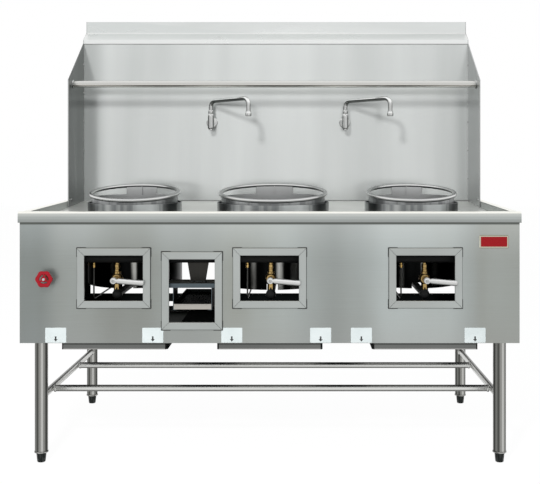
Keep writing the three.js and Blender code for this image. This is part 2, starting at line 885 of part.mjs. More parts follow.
stations.forEach((station) => {
  const frame = new THREE.Group();
  frame.position.set(station.x, stationBack, stationHeight);
  frame.rotation.x = stationTilt;
  range.add(frame);
  piece("chamber_" + station.side, chamber(station), steel, frame);
  piece("wok_ring_" + station.side, wokRing(station), polished, frame);
  piece("burner_" + station.side, burner(station), castIron, frame);
});

// ---------------------------------------------------------------- gas train

const manifoldFoot = manifoldHeight - manifoldRadius - seat;

function manifold() {
  const y = trainBack;
  const z = manifoldHeight;
  const end = manifoldInset - sideX;
  const run = tube([[end, y, z], [inletX, y, z], [inletX, bodyDepth, z]], manifoldRadius, inletBend, 12);
  const capEnd = end - capPast;
  return joined(run, rod(manifoldRadius + capWall, [capEnd, y, z], [capEnd + manifoldCap, y, z], 8));
}
piece("gas_manifold", manifold(), blackIron);

// Valve: nipple, hexagonal neck, round body with its stem to the front, union below.
function valveBody(x) {
  const y = trainBack;
  const rise = (radius, from, to, sides) => rod(radius, [x, y, from], [x, y, to], sides);
  const above = (from) => valveHeight + from;
  const ahead = (radius, to) => rod(radius, [x, y, valveHeight], [x, to, valveHeight], 12);
  const ball = new THREE.SphereGeometry(valveRadius, 12, 6).translate(x, y, valveHeight);
  return joined(
    rise(nippleRadius, valveHeight, manifoldFoot, 12),
    rise(valveNut, ...valveNutSpan.map(above), 6),
    rise(valveCollar, valveHeight, above(valveCollarHeight), 12),
    solid(ball),
    rise(unionRadius, gasHeight + elbowRadius + seat, valveHeight, 8),
    ahead(bonnetRadius, y - valveRadius - bonnetLength),
    ahead(stemRadius, -leverFront),
  );
}

function lever(x) {
  const z = valveHeight;
  const hub = span(-leverFront, leverHubLength);
  const along = (r) => [x + r * Math.cos(leverDroop), -leverFront, z - r * Math.sin(leverDroop)];
  const bore = rod(stemRadius + seat, [x, 0, z], [x, -leverFront - seat, z], 12);
  const [taperStart, taperEnd] = leverTaper.map(along);
  const gripEnd = along(leverLength - leverTip);
  const body = joined(
    rod(leverHub, [x, hub[0], z], [x, hub[1], z], 16),
    rod(leverNeck, along(stemRadius), along(leverNeckLength), 8),
    rod(leverNeck, taperStart, taperEnd, 10, leverRadius),
    rod(leverRadius, taperEnd, gripEnd, 10),
    rod(leverRadius, gripEnd, along(leverLength), 10, leverRadius - leverTip),
  );
  return cut(body, bore);
}

// Black iron from the union, through a round elbow, back under the chamber and up to the burner.
function gasLine(x) {
  const stubAt = stationPoint(0, burnerFoot - burnerStub);
  const top = gasHeight + elbowRadius;
  const pipeTop = stubAt[2] - seat - topRise * gasRadius;
  const [y, z] = [trainBack, gasHeight];
  const run = tube([[x, y, z], [x, stubAt[1], z], [x, stubAt[1], pipeTop]], gasRadius, gasBend, 10);
  return joined(
    run,
    solid(new THREE.SphereGeometry(elbowRadius, 10, 6).translate(x, y, z)),
    rod(elbowCollar, [x, y, z], [x, y, top], 10),
    rod(elbowCollar, [x, y, z], [x, y + elbowRadius + elbowCollarReach, z], 10),
  );
}

// Pilot: a small hexagonal valve on the manifold and a thin pipe to the edge of the burner.
function pilot(x) {
  const y = trainBack;
  const back = stationBack - burnerRadius;
  const low = gasHeight - gasRadius - pilotRadius;
  const tip = stationHeight - chamberDepth + burnerSeat + burnerThick;
  const [valveLow, valveHigh] = span(pilotHeight, pilotValveLength);
  return joined(
    rod(pilotNipple, [x, y, pilotHeight], [x, y, manifoldFoot], 8),
    rod(pilotValve, [x, y, valveLow], [x, y, valveHigh], 6),
    tube([[x, y, pilotHeight], [x, y, low], [x, back, low], [x, back, tip]], pilotRadius, pilotBend, 6),
  );
}

stations.forEach(({ side, x }) => {
  const trainX = x + trainShift;
  piece("gas_valve_" + side, valveBody(trainX), brass);
  piece("valve_lever_" + side, lever(trainX), polished);
  piece("gas_line_" + side, gasLine(trainX), blackIron);
  piece("pilot_" + side, pilot(x + pilotShift), brass);
});

// ---------------------------------------------------------------- drain and water

// Square chute under the gutter's drain, on a shelf with a folded front. Hangers under the shelf
// carry the runners of the strainer tray.
const strainerTop = shelfTop - strainerDrop;
const strainerBase = strainerTop - strainerHeight;

function drainSump() {
  const top = gutterUnder - seat;
  const chute = (wall, past) => {
    const [high, low] = [sumpTop / 2 - wall, sumpBottom / 2 - wall];
    const shape = [
      [sumpX - low, shelfTop - past],
      [sumpX + low, shelfTop - past],
      [sumpX + high, top + past],
      [sumpX - high, top + past],
    ];
    return alongY(shape, sumpYs[0] + wall, sumpYs[1] - wall);
  };
  const shelfXs = span(drainWindowX, shelfWidth);
  const shelfYs = [strainerFront, strainerFront + shelfDepth];
  const shelf = block(shelfXs, shelfYs, [shelfTop - sumpSheet, shelfTop]);
  const fold = block(shelfXs, [shelfYs[0], shelfYs[0] + sumpSheet], [shelfTop - shelfFlange, shelfTop]);
  const reach = strainerWidth / 2 + traySlack + sumpSheet;
  const back = strainerFront + strainerDepth;
  const under = strainerBase - seat;
  const foot = under - sumpSheet;
  const hangers = [-1, 1].map((side) => {
    const outer = drainWindowX + side * reach;
    const wall = inOrder(outer, outer - side * sumpSheet);
    return joined(
      block(wall, shelfYs, [foot, shelfTop]),
      block(wall, [strainerFront, back], [foot, strainerTop]),
      block(inOrder(outer, outer - side * runnerFoot), [strainerFront, back], [foot, under]),
    );
  });
  const stop = block(span(drainWindowX, 2 * reach), [back, back + sumpSheet], [foot, strainerTop]);
  return cut(joined(chute(0, 0), shelf, fold, stop, ...hangers), chute(sumpSheet, 2 * sumpSheet));
}
piece("drain_sump", drainSump(), darkSteel);

function strainerTray() {
  const ys = [strainerFront, strainerFront + strainerDepth - seat];
  const outer = block(span(drainWindowX, strainerWidth), ys, [strainerBase, strainerTop]);
  const well = block(
    span(drainWindowX, strainerWidth - 2 * traySheet),
    [ys[0] + traySheet, ys[1] - traySheet],
    [strainerBase + traySheet, strainerTop + over],
  );
  const pull = block(
    span(drainWindowX, strainerPullWidth),
    [ys[0] - strainerPull, ys[0] + traySheet],
    [strainerTop - traySheet, strainerTop],
  );
  return joined(cut(outer, well), pull);
}
piece("strainer_tray", strainerTray(), darkSteel);

function waterValve() {
  const z = wheelHeight;
  const behind = sheet + seat;
  const level = (radius, from, to, sides) => rod(radius, [wheelX, from, z], [wheelX, to, z], sides);
  return joined(
    level(waterFlange, behind, behind + waterFlangeThick, 8),
    level(waterBody, behind, waterBack + waterBodyReach, 16),
    level(stemRadius, waterBack, -wheelFront, 12),
    level(waterNut, -seat, -seat - waterNutThick, 6),
    level(waterPipe, waterBack, bodyDepth, 12),
    rod(waterPipe, [wheelX, waterBack, z], [wheelX, waterBack, gutterUnder - seat], 12),
  );
}
piece("water_valve", waterValve(), brass);

// Cast wheel: six pointed lobes, three kidney openings and a raised hub on the valve stem.
function handwheel() {
  const rimPoints = 4 * wheelLobes;
  const rim = Array.from({ length: rimPoints }, (_, i) => {
    const angle = (2 * Math.PI * i) / rimPoints;
    const lobe = 1 - Math.abs(Math.sin((wheelLobes / 2) * angle));
    const r = wheelRoot + (wheelTip - wheelRoot) * lobe;
    return [r * Math.sin(angle), r * Math.cos(angle)];
  });
  const shape = outline(rim);
  for (let i = 0; i < wheelSpokes; i++) {
    const middle = Math.PI / 2 + ((i + 0.5) * 2 * Math.PI) / wheelSpokes;
    const half = spokeWindow / 2;
    const kidney = new THREE.Path();
    kidney.absarc(0, 0, wheelRoot - spokeRim, middle - half, middle + half, false);
    kidney.absarc(0, 0, wheelHub + weld, middle + half * 0.8, middle - half * 0.8, true);
    kidney.closePath();
    shape.holes.push(kidney);
  }
  const depth = wheelThick - 2 * wheelBevel;
  const body = new THREE.ExtrudeGeometry(shape, {
    depth,
    bevelThickness: wheelBevel,
    bevelSize: wheelBevel,
    bevelOffset: -wheelBevel / 2,
    bevelSegments: 1,
    curveSegments: 3,
  });
  body.translate(0, 0, -depth / 2).rotateX(Math.PI / 2).translate(wheelX, -wheelFront, wheelHeight);
  const at = (y) => [wheelX, y, wheelHeight];
  const hub = rod(wheelHub, at(-wheelFront + wheelHubBack), at(-wheelFront - wheelHubFront), 20);
  const bore = rod(stemRadius + seat, at(0), at(-wheelFront - seat), 12);
  return cut(joined(solid(body), hub), bore);
}
piece("handwheel", handwheel(), redPaint);

// ---------------------------------------------------------------- faucets

const faucetTop = faucetHeight + faucetAbove;

function faucetBase(x) {
  const axis = splashBack - faucetReach;
  const wall = splashBack - seat;
  const z = faucetHeight;
  const foot = z - faucetBelow;
  return joined(
    rod(faucetFlange, [x, wall, z], [x, wall - faucetFlangeThick, z], 12),
    rod(faucetArm, [x, wall, z], [x, axis, z], 10),
    rod(faucetRadius, [x, axis, foot], [x, axis, faucetTop], 12),
    rod(faucetCap, [x, axis, foot - faucetCapHeight], [x, axis, foot], 12),
  );
}

function spout(x) {
  const y = splashBack - faucetReach;
  const foot = faucetTop + seat;
  const level = faucetTop + spoutRise;
  const tip = level - spoutDrop;
  const end = [x + spoutLength * Math.cos(spoutSwing), y + spoutLength * Math.sin(spoutSwing)];
  const corners = [[x, y, foot + weld], [x, y, level], [...end, level], [...end, tip]];
  return joined(
    tube(corners, spoutRadius, spoutBend, 8),
    rod(spoutNut, [x, y, foot], [x, y, foot + spoutNutHeight], 6),
    rod(spoutTip, [...end, tip - spoutTipBelow], [...end, tip + spoutTipAbove], 10),
  );
}

faucetX.forEach((x, i) => {
  const side = ["left", "right"][i];
  piece("faucet_" + side, faucetBase(x), polished);
  piece("spout_" + side, spout(x), polished);
});

// ---------------------------------------------------------------- legs

const legTop = frameTop - frameHeight - seat;

function legFrame(side) {
  const x = side * legX;
  const legs = legYs.map((y) => {
    const pipe = rod(legRadius, [x, y, footHeight + seat], [x, y, legTop], 16);
    const end = footHeight + footStemLength + stemRoom;
    const bore = rod(footStem + stemClear, [x, y, footHeight - over], [x, y, end], 8);
    return pipe.subtract(bore);
  });
  const at = (y) => [x, y, railHeight];
  const rail = rod(railRadius, at(legYs[0]), at(legYs[1]), 12);
  const welds = [
    rod(railRadius + collarLift, at(legYs[0]), at(legYs[0] + legRadius + collarLength), 12),
    rod(railRadius + collarLift, at(legYs[1]), at(legYs[1] - legRadius - collarLength), 12),
  ];
  return joined(...legs, rail, ...welds);
}

function crossBar(y) {
  const bar = rod(railRadius, [-legX, y, railHeight], [legX, y, railHeight], 12);
  const rails = [-1, 1].map((side) => {
    const at = (step) => [side * legX, y + step, railHeight];
    return rod(railRadius + seat, at(-2 * railRadius), at(2 * railRadius), 12);
  });
  const welds = [-1, 1].map((side) => {
    const near = side * (legX - railRadius + weld);
    const far = side * (legX - railRadius - collarLength);
    return rod(railRadius + collarLift, [near, y, railHeight], [far, y, railHeight], 12);
  });
  return cut(joined(bar, ...welds), ...rails);
}

// Bullet foot: a tapered tip under a round flange, screwed up into the leg by its stem.
function foot(x, y) {
  const profile = [
    [0, 0],
    [footTip, 0],
    [footTip + footTipRound, footTipRound],
    [footRadius, footHeight - footFlangeThick - footNeck],
    [footRadius, footHeight - footFlangeThick],
    [footFlange, footHeight - footFlangeThick],
    [footFlange, footHeight],
    [footStem, footHeight],
    [footStem, footHeight + footStemLength],
    [0, footHeight + footStemLength],
  ];
  return turned(profile, x, y, 10);
}

piece("leg_frame_left", legFrame(-1), pipeSteel);
piece("leg_frame_right", legFrame(1), pipeSteel);
piece("cross_bar_front", crossBar(crossBars[0]), pipeSteel);
piece("cross_bar_rear", crossBar(crossBars[1]), pipeSteel);
[["left", -1], ["right", 1]].forEach(([side, sign]) => {
  piece("foot_front_" + side, foot(sign * legX, legYs[0]), darkSteel);
  piece("foot_rear_" + side, foot(sign * legX, legYs[1]), darkSteel);
});

// The part's origin is on the floor, in the middle of its overall width and depth.
const frontReach = wheelFront + wheelHubFront;
range.position.y = -(bodyDepth - frontReach) / 2;

export default range;
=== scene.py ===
# %% [markdown]
# # A stainless steel wok range
# The frame comes first. It is the finished construction at its real size, in metres, with one
# object for each solid. Everything below is fitted to it.

# %% Load the frame
import json
import math
from functools import partial

import bmesh
import bpy
from mathutils import Matrix, Vector


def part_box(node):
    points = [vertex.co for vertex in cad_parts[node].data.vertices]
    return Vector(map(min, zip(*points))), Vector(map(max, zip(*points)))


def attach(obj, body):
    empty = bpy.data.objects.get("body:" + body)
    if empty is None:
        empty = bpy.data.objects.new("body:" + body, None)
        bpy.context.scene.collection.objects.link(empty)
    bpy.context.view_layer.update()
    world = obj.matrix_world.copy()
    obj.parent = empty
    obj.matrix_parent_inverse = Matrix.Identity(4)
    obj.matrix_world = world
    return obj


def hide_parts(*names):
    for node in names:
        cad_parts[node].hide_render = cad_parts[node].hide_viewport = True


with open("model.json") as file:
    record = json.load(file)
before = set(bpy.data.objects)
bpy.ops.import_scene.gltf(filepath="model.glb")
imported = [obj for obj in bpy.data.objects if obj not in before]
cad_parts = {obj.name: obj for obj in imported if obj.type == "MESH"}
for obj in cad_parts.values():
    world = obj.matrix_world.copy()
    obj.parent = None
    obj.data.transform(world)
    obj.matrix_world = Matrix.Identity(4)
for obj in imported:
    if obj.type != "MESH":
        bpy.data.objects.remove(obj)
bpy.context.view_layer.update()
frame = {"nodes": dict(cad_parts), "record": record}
NODES = frame["nodes"]
RECORD = frame["record"]
BODY_OF = {node: body for body, members in RECORD["behaviour"]["bodies"].items() for node in members}
PIVOT_OF = {joint["child"]: Vector(joint["pos_m"]) for joint in RECORD["behaviour"]["joints"] if "pos_m" in joint}
SIDES = ("left", "middle", "right")
ENDS = (("left", -1), ("right", 1))


def middle_of(node):
    low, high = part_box(node)
    return (low + high) / 2


# %% [markdown]
# ## Camera
# A product photographer keeps the camera level so that the legs stay upright, and shifts the lens
# to fit the object in. The lens is long, a little to the right of the middle, at chest height.

# %% Camera
IMAGE_WIDTH = 540
IMAGE_HEIGHT = 484
SENSOR = 36.0
FOCAL_PIXELS = 925
VANISH_X = 300
VANISH_Y = 163
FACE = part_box("front_panel")[0].y
CAMERA_DISTANCE = 3.384
CAMERA_SIDE = 0.111
CAMERA_HEIGHT = 1.121

scene = bpy.context.scene
camera_data = bpy.data.cameras.new("camera")
camera_data.sensor_width = SENSOR
camera_data.lens = SENSOR * FOCAL_PIXELS / IMAGE_WIDTH
camera_data.shift_x = (IMAGE_WIDTH / 2 - VANISH_X) / IMAGE_WIDTH
camera_data.shift_y = (VANISH_Y - IMAGE_HEIGHT / 2) / IMAGE_WIDTH
camera = bpy.data.objects.new("camera", camera_data)
camera.location = (CAMERA_SIDE, FACE - CAMERA_DISTANCE, CAMERA_HEIGHT)
camera.rotation_euler = (math.radians(90), 0, 0)
scene.collection.objects.link(camera)
scene.camera = camera
scene.view_settings.view_transform = "Standard"
print("lens", round(camera_data.lens, 1), "mm")

# %% [markdown]
# ## Node helpers
# Materials are wired by hand in most lessons. Here a few short helpers make and join nodes, so that
# each material below reads as a recipe.

# %% Node helpers
def put(tree, socket, value):
    """Wires a socket to a socket, or sets it to a plain value."""
    if isinstance(value, bpy.types.NodeSocket):
        tree.links.new(value, socket)
    else:
        socket.default_value = value


def add_node(tree, kind, *sources, **settings):
    """A new node. Settings are attributes or inputs by their label; sources are inputs in order."""
    node = tree.nodes.new(kind)
    for key, value in settings.items():
        if hasattr(node, key):
            setattr(node, key, value)
        else:
            put(tree, node.inputs[key.replace("_", " ")], value)
    for socket, source in zip(node.inputs, sources):
        put(tree, socket, source)
    return node


def value_of(tree, operation, *terms):
    """A small sum on sockets and numbers."""
    return add_node(tree, "ShaderNodeMath", *terms, operation=operation).outputs[0]


def colour(r, g, b):
    return (r, g, b, 1.0)


def mix_colours(tree, factor, below, above, blend="MIX"):
    """A colour mix. Its sockets are taken by number, since several share one label."""
    node = add_node(tree, "ShaderNodeMix", factor, data_type="RGBA", blend_type=blend)
    put(tree, node.inputs[6], below)
    put(tree, node.inputs[7], above)
    return node.outputs[2]


def remap(tree, value, low, high, start=0.0, end=1.0, **settings):
    """Spreads a value that runs from start to end over low to high."""
    return add_node(tree, "ShaderNodeMapRange", Value=value, From_Min=start, From_Max=end, To_Min=low, To_Max=high,
                    **settings).outputs["Result"]


def new_group(name, kind="Shader", **inputs):
    """A node group, and its inlet's sockets by label. An input is a kind of socket or a default."""
    group = bpy.data.node_groups.new(name, kind + "NodeTree")
    for key, value in inputs.items():
        kinds = {str: value, float: "Float", int: "Int", tuple: "Vector"}
        socket = group.interface.new_socket(key.replace("_", " "), in_out="INPUT",
                                            socket_type="NodeSocket" + kinds[type(value)])
        if not isinstance(value, str):
            socket.default_value = value
    return group, group.nodes.new("NodeGroupInput").outputs


def give(group, kind="Float", **results):
    """Makes named outputs of the results, and so closes the group."""
    for label in results:
        group.interface.new_socket(label, in_out="OUTPUT", socket_type="NodeSocket" + kind)
    add_node(group, "NodeGroupOutput", **results)
    return group


def stretched_noise(tree, vector, stretch, **settings):
    stretched = add_node(tree, "ShaderNodeVectorMath", vector, stretch, operation="MULTIPLY")
    return add_node(tree, "ShaderNodeTexNoise", Vector=stretched.outputs[0], **settings).outputs["Fac"]


print("node helpers ready")

# %% [markdown]
# ## Grain and clouds
# Brushed sheet has fine scratches that run one way. They are noise stretched a hundredfold along
# the sheet. A second, slow noise gives the cloudy patches that fingers and wiping leave. Both are
# groups, because every metal here uses them with its own numbers.

# %% Brushed grain and wiping clouds
def build_grain_group():
    group, get = new_group("brushed_grain", Vector="Vector", Stretch=(4.0, 400.0, 400.0), Seed=0.0)
    fine = stretched_noise(group, get["Vector"], get["Stretch"], noise_dimensions="4D", W=get["Seed"], Scale=1.0,
                           Detail=3.0, Roughness=0.65)
    return give(group, Grain=remap(group, fine, 0.0, 1.0, 0.32, 0.68), Height=fine)


def build_cloud_group():
    group, get = new_group("wiping_clouds", Vector="Vector", Size=3.0, Streak=(1.0, 1.0, 1.0))
    slow = stretched_noise(group, get["Vector"], get["Streak"], Scale=get["Size"], Detail=3.0, Roughness=0.5,
                           Distortion=0.3)
    return give(group, Cloud=remap(group, slow, 0.0, 1.0, 0.33, 0.67))


GRAIN = build_grain_group()
CLOUDS = build_cloud_group()
print("grain and clouds:", GRAIN.name, CLOUDS.name)

# %% [markdown]
# ## Bands, fades and rubbed edges
# A polished bar shows the room as bright and dark bands along its length. Here they are painted
# reflections: they depend only on where the surface faces, so noise read from the object's own normals
# gives the same bands, and they stay on the metal in every view. A fade runs from 0 to 1 along any
# direction and serves as a mask, for instance for the painted shade on the steel below the deck. A
# rubbed edge is 1 where a bevel is worn bright and 0 on the flats.

# %% Bands, fades and rubbed edges
FLAT = 0.5  # the pointiness of a flat face


def build_band_group():
    group, get = new_group("room_bands", Normal="Vector", Spread=(3.0, 3.0, 3.0), Seed=0.0, Dark=0.4, Bright=0.6)
    room = stretched_noise(group, get["Normal"], get["Spread"], noise_dimensions="4D", W=get["Seed"], Scale=1.0,
                           Detail=2.0, Roughness=0.6)
    return give(group, Band=remap(group, room, 0.0, 1.0, get["Dark"], get["Bright"],
                                  interpolation_type="SMOOTHSTEP"))


def build_fade_group():
    group, get = new_group("fade_along", Vector="Vector", Axis=(0.0, 0.0, 1.0), Start=0.0, End=1.0)
    along = add_node(group, "ShaderNodeVectorMath", get["Vector"], get["Axis"], operation="DOT_PRODUCT")
    return give(group, Fade=remap(group, along.outputs["Value"], 0.0, 1.0, get["Start"], get["End"],
                                  interpolation_type="SMOOTHSTEP"))


def build_edge_group():
    group, get = new_group("rubbed_edges", Vector="Vector", Reach=0.04, Breakup=60.0)
    form = group.nodes.new("ShaderNodeNewGeometry")
    sharp = remap(group, form.outputs["Pointiness"], 0.0, 1.0, FLAT, value_of(group, "ADD", get["Reach"], FLAT))
    chips = add_node(group, "ShaderNodeTexNoise", Vector=get["Vector"], Scale=get["Breakup"], Detail=2.0)
    breakup = remap(group, chips.outputs["Fac"], 0.2, 1.0, 0.35, 0.6)
    return give(group, Edge=value_of(group, "MULTIPLY", sharp, breakup))


BANDS = build_band_group()
FADE = build_fade_group()
EDGES = build_edge_group()
print("masks:", BANDS.name, FADE.name, EDGES.name)

# %% [markdown]
# ## Metals
# Every metal is the same Principled shader with other numbers. The grain goes into colour,
# roughness and a very shallow bump, so that highlights break up along the brushing. A constant is
# set on the shader itself, and only what changes over the surface is wired in.

# %% Metal recipe
def metal(name, tint, deep, rough, stretch, bump=0.04, metallic=1.0, cloud=0.5, cloud_size=2.5,
          streak=(1.0, 1.0, 1.0), rough_spread=0.08, glance=1.0):
    """Brushed metal between a light tint and a deep one; glance scales its grazing reflection."""
    material = bpy.data.materials.new(name)
    material.use_nodes = True
    tree = material.node_tree
    shader = tree.nodes["Principled BSDF"]
    shader.inputs["Metallic"].default_value = metallic
    shader.inputs["Specular Tint"].default_value = colour(glance, glance, glance)
    place = tree.nodes.new("ShaderNodeTexCoord").outputs["Object"]
    grain = add_node(tree, "ShaderNodeGroup", node_tree=GRAIN, Vector=place, Stretch=stretch).outputs
    clouds = add_node(tree, "ShaderNodeGroup", node_tree=CLOUDS, Vector=place, Size=cloud_size, Streak=streak)
    share = remap(tree, grain["Grain"], 0.0, 1.0 - cloud)
    blend = value_of(tree, "MULTIPLY_ADD", clouds.outputs["Cloud"], cloud, share)
    relief = add_node(tree, "ShaderNodeBump", Strength=bump, Distance=0.001, Height=grain["Height"])
    put(tree, shader.inputs["Base Color"], mix_colours(tree, blend, colour(*deep), colour(*tint)))
    put(tree, shader.inputs["Roughness"], remap(tree, blend, rough + rough_spread, rough))
    put(tree, shader.inputs["Normal"], relief.outputs["Normal"])
    return material


ACROSS = (6.0, 900.0, 900.0)
UPRIGHT = (900.0, 900.0, 6.0)
ALL_WAYS = (260.0, 260.0, 260.0)
print("metal recipe ready")

# %% [markdown]
# ### Washes
# A wash lays a second colour over a mask. Most washes here are painted light: painted shade,
# painted highlights and painted reflections. Its guide says what the mask follows: a direction, and
# whether the place or the normal is measured along it.
# A wash fades from start to end; with a soft edge, it fills the stripe between them.

# %% Washes
X, Y, Z = (((1.0, 0.0, 0.0), "Object"), ((0.0, 1.0, 0.0), "Object"), ((0.0, 0.0, 1.0), "Object"))
FACING_X, FACING_Y, FACING_Z = ((axis, "Normal") for axis, _ in (X, Y, Z))


def overlay(material, mask, shade, blend="MIX"):
    """Lays one more colour over a finished material wherever the mask is 1."""
    tree = material.node_tree
    target = tree.nodes["Principled BSDF"].inputs["Base Color"]
    put(tree, target, mix_colours(tree, mask, target.links[0].from_socket, colour(*shade), blend))


def mask_of(material, group, output, result, **values):
    """A mask that reads an output of the texture coordinates."""
    tree = material.node_tree
    source = tree.nodes.new("ShaderNodeTexCoord").outputs[output]
    node = add_node(tree, "ShaderNodeGroup", source, node_tree=group, **values)
    return node.outputs[result]


def fade(material, guide, start, end, mirrored=False):
    """A mask along a guide. Mirrored, it is the same on both sides of the middle."""
    axis, output = guide
    mask = mask_of(material, FADE, output, "Fade", Axis=axis, Start=start, End=end)
    if mirrored:
        tree = material.node_tree
        read = mask.node.inputs["Vector"]
        fold = add_node(tree, "ShaderNodeVectorMath", read.links[0].from_socket, operation="ABSOLUTE")
        put(tree, read, fold.outputs[0])
    return mask


def both(material, *masks):
    return value_of(material.node_tree, "MULTIPLY", *masks)


def stripe(material, guide, start, end, soft):
    """A soft-edged band between two places along a guide."""
    return both(material, fade(material, guide, start - soft, start + soft),
                fade(material, guide, end + soft, end - soft))


def flanks(material, start, full, shade):
    """A soft line of painted reflection, dark as the unlit room, down both flanks where the normal turns from start to
    full along x.
    """
    overlay(material, both(material, fade(material, FACING_X, start, full, mirrored=True),
                           fade(material, FACING_X, 1.0, 0.92, mirrored=True)), shade)


def washed(material, *washes, blend="MIX"):
    """Lays washes over a material, each of them (guide, start, end, shade) or with a soft edge too."""
    for guide, start, end, shade, *soft in washes:
        mask = stripe(material, guide, start, end, *soft) if soft else fade(material, guide, start, end)
        overlay(material, mask, shade, blend)
    return material


def room_bands(material, dark, spread, seed, low=0.42, high=0.58):
    """Lays painted reflections, the dark bands of the room, over a material; low and high set their contrast."""
    overlay(material, mask_of(material, BANDS, "Normal", "Band", Spread=spread, Dark=high, Bright=low, Seed=seed), dark)
    return material


def banded(name, light, dark, rough, spread, seed, metallic=1.0, **contrast):
    """A metal with painted reflections of the room in bands."""
    return room_bands(metal(name, light, tuple(0.9 * part for part in light), rough, ALL_WAYS, bump=0.02,
                            metallic=metallic, rough_spread=0.05), dark, spread, seed, **contrast)


print("washes ready")

# %% [markdown]
# ## Cabinet steel
# The cabinet is satin sheet, brushed across. Painted reflections make it lighter or darker, cooler or
# warmer, in soft upright zones across the front; a painted highlight lightens it to the top and painted
# shade darkens it towards the foot. A painted shadow line lies under the rim, where the sheet disappears
# behind the lip.

# %% Cabinet steel
RIM_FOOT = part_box("rim_front")[0].z + 0.018
RIM_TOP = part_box("rim_front")[1].z
LIP_FOLD = RIM_TOP - 0.028
FOOT_LINE, INSIDE_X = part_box("front_panel")[0].z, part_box("front_panel")[1].x - 0.001

COOL = (0.375, 0.41, 0.405)
WARM = (0.285, 0.295, 0.27)
LONG_CLOUDS = (1.3, 1.3, 0.25)
cabinet_steel = metal("cabinet_steel", COOL, WARM, 0.34, ACROSS, metallic=0.9, cloud=0.8, cloud_size=2.0,
                      streak=LONG_CLOUDS)
# Painted highlight to the top, painted shade towards the foot.
washed(cabinet_steel, (Z, 0.74, 1.0, (0.5, 0.53, 0.52)),
       (Z, FOOT_LINE + 0.16, FOOT_LINE - 0.1, (0.34, 0.355, 0.345)))
# Painted reflections: soft upright zones that multiply the colour lighter or darker.
washed(cabinet_steel, (X, -0.95, -0.8, (0.78, 0.8, 0.81), 0.05), (X, -0.62, -0.42, (0.88, 0.875, 0.86), 0.06),
       (X, -0.2, 0.1, (1.13, 1.13, 1.12), 0.07), (X, 0.19, 0.27, (0.9, 0.9, 0.9), 0.05),
       (X, 0.38, 0.7, (1.22, 1.22, 1.22), 0.07), (X, 0.76, 0.95, (0.95, 0.93, 0.9), 0.03), blend="MULTIPLY")
# Painted shadow line under the rim.
washed(cabinet_steel, (Z, RIM_FOOT - 0.01, RIM_FOOT - 0.004, (0.12, 0.13, 0.12)))

side_steel = metal("cabinet_side", COOL, WARM, 0.34, ACROSS, metallic=0.9, cloud=0.8)
# Painted shade: the inner faces of the side panels, inside the cabinet, are made nearly black.
overlay(side_steel, fade(side_steel, X, INSIDE_X + 0.0002, INSIDE_X - 0.0002, mirrored=True), (0.05, 0.052, 0.05))

# Painted highlight on the upper lip face, painted shade in the fold line, a painted highlight on the up-facing top and
# a painted shadow line at the foot of the lip.
rim_steel = washed(
    metal("rim_steel", (0.43, 0.455, 0.445), (0.39, 0.415, 0.4), 0.3, ACROSS, metallic=0.9, cloud=0.8,
          streak=LONG_CLOUDS, bump=0.015),
    (Z, RIM_TOP - 0.022, RIM_TOP - 0.012, (0.52, 0.54, 0.52)),
    (Z, LIP_FOLD + 0.001, LIP_FOLD - 0.001, (0.335, 0.355, 0.345)),
    (FACING_Z, 0.25, 0.75, (0.96, 0.955, 0.89)),
    (Z, RIM_FOOT + 0.0035, RIM_FOOT + 0.001, (0.16, 0.17, 0.16)))

deck_steel = metal("deck_steel", (0.84, 0.845, 0.815), (0.74, 0.745, 0.715), 0.3, ACROSS, metallic=0.8, cloud=0.8,
                   cloud_size=3.0)
print("cabinet:", cabinet_steel.name, side_steel.name, rim_steel.name, deck_steel.name)

# %% [markdown]
# ## Splash steel
# The splash is brighter sheet. It is partly diffuse, so the rack and the spouts cast soft shadows on
# it, as in a real kitchen. It has a line of painted shade along its foot and a painted reflection that
# darkens it to the left corner, where it mirrors the side panel. Each side panel has painted shade that
# darkens it to its front edge, painted light on the right panel and a painted highlight on the faces
# turned to the front.

# %% Splash steel
LEFT_CORNER = -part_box("splash_side_right")[0].x
PANEL_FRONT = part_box("splash_side_right")[0].y
DECK_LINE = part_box("deck_plate")[1].z
CAP_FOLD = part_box("flue_cap")[1].z - 0.052
CAP_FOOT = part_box("flue_cap")[0].z
GLARE, GLARE_LINE = ((0.095, 0.0, 1.0), "Object"), 1.7155

# Painted shade along the foot, where the splash meets the deck, and a painted reflection of the side panel, darker
# towards the left corner.
splash_steel = washed(
    metal("splash_steel", (0.67, 0.69, 0.68), (0.55, 0.57, 0.56), 0.15, UPRIGHT, metallic=0.54, cloud=0.85,
          cloud_size=1.6, streak=(2.2, 2.2, 0.2), bump=0.006, rough_spread=0.05),
    (Z, DECK_LINE + 0.005, DECK_LINE + 0.003, (0.24, 0.25, 0.245)),
    (X, 0.13 + LEFT_CORNER, 0.03 + LEFT_CORNER, (0.46, 0.48, 0.47)))

# Painted shade darkening to the front edge, painted light on the right panel and a painted highlight on the faces
# turned to the front.
side_splash_steel = washed(
    metal("side_splash_steel", (0.19, 0.202, 0.197), (0.135, 0.144, 0.14), 0.26, UPRIGHT, metallic=0.85, cloud=0.8,
          streak=(2.0, 2.0, 0.3), bump=0.006),
    (Y, PANEL_FRONT + 0.16, PANEL_FRONT, (0.11, 0.118, 0.115)),
    (X, -0.2, 0.2, (0.46, 0.472, 0.468)),
    (FACING_Y, -0.5, -0.9, (0.4, 0.41, 0.405)))

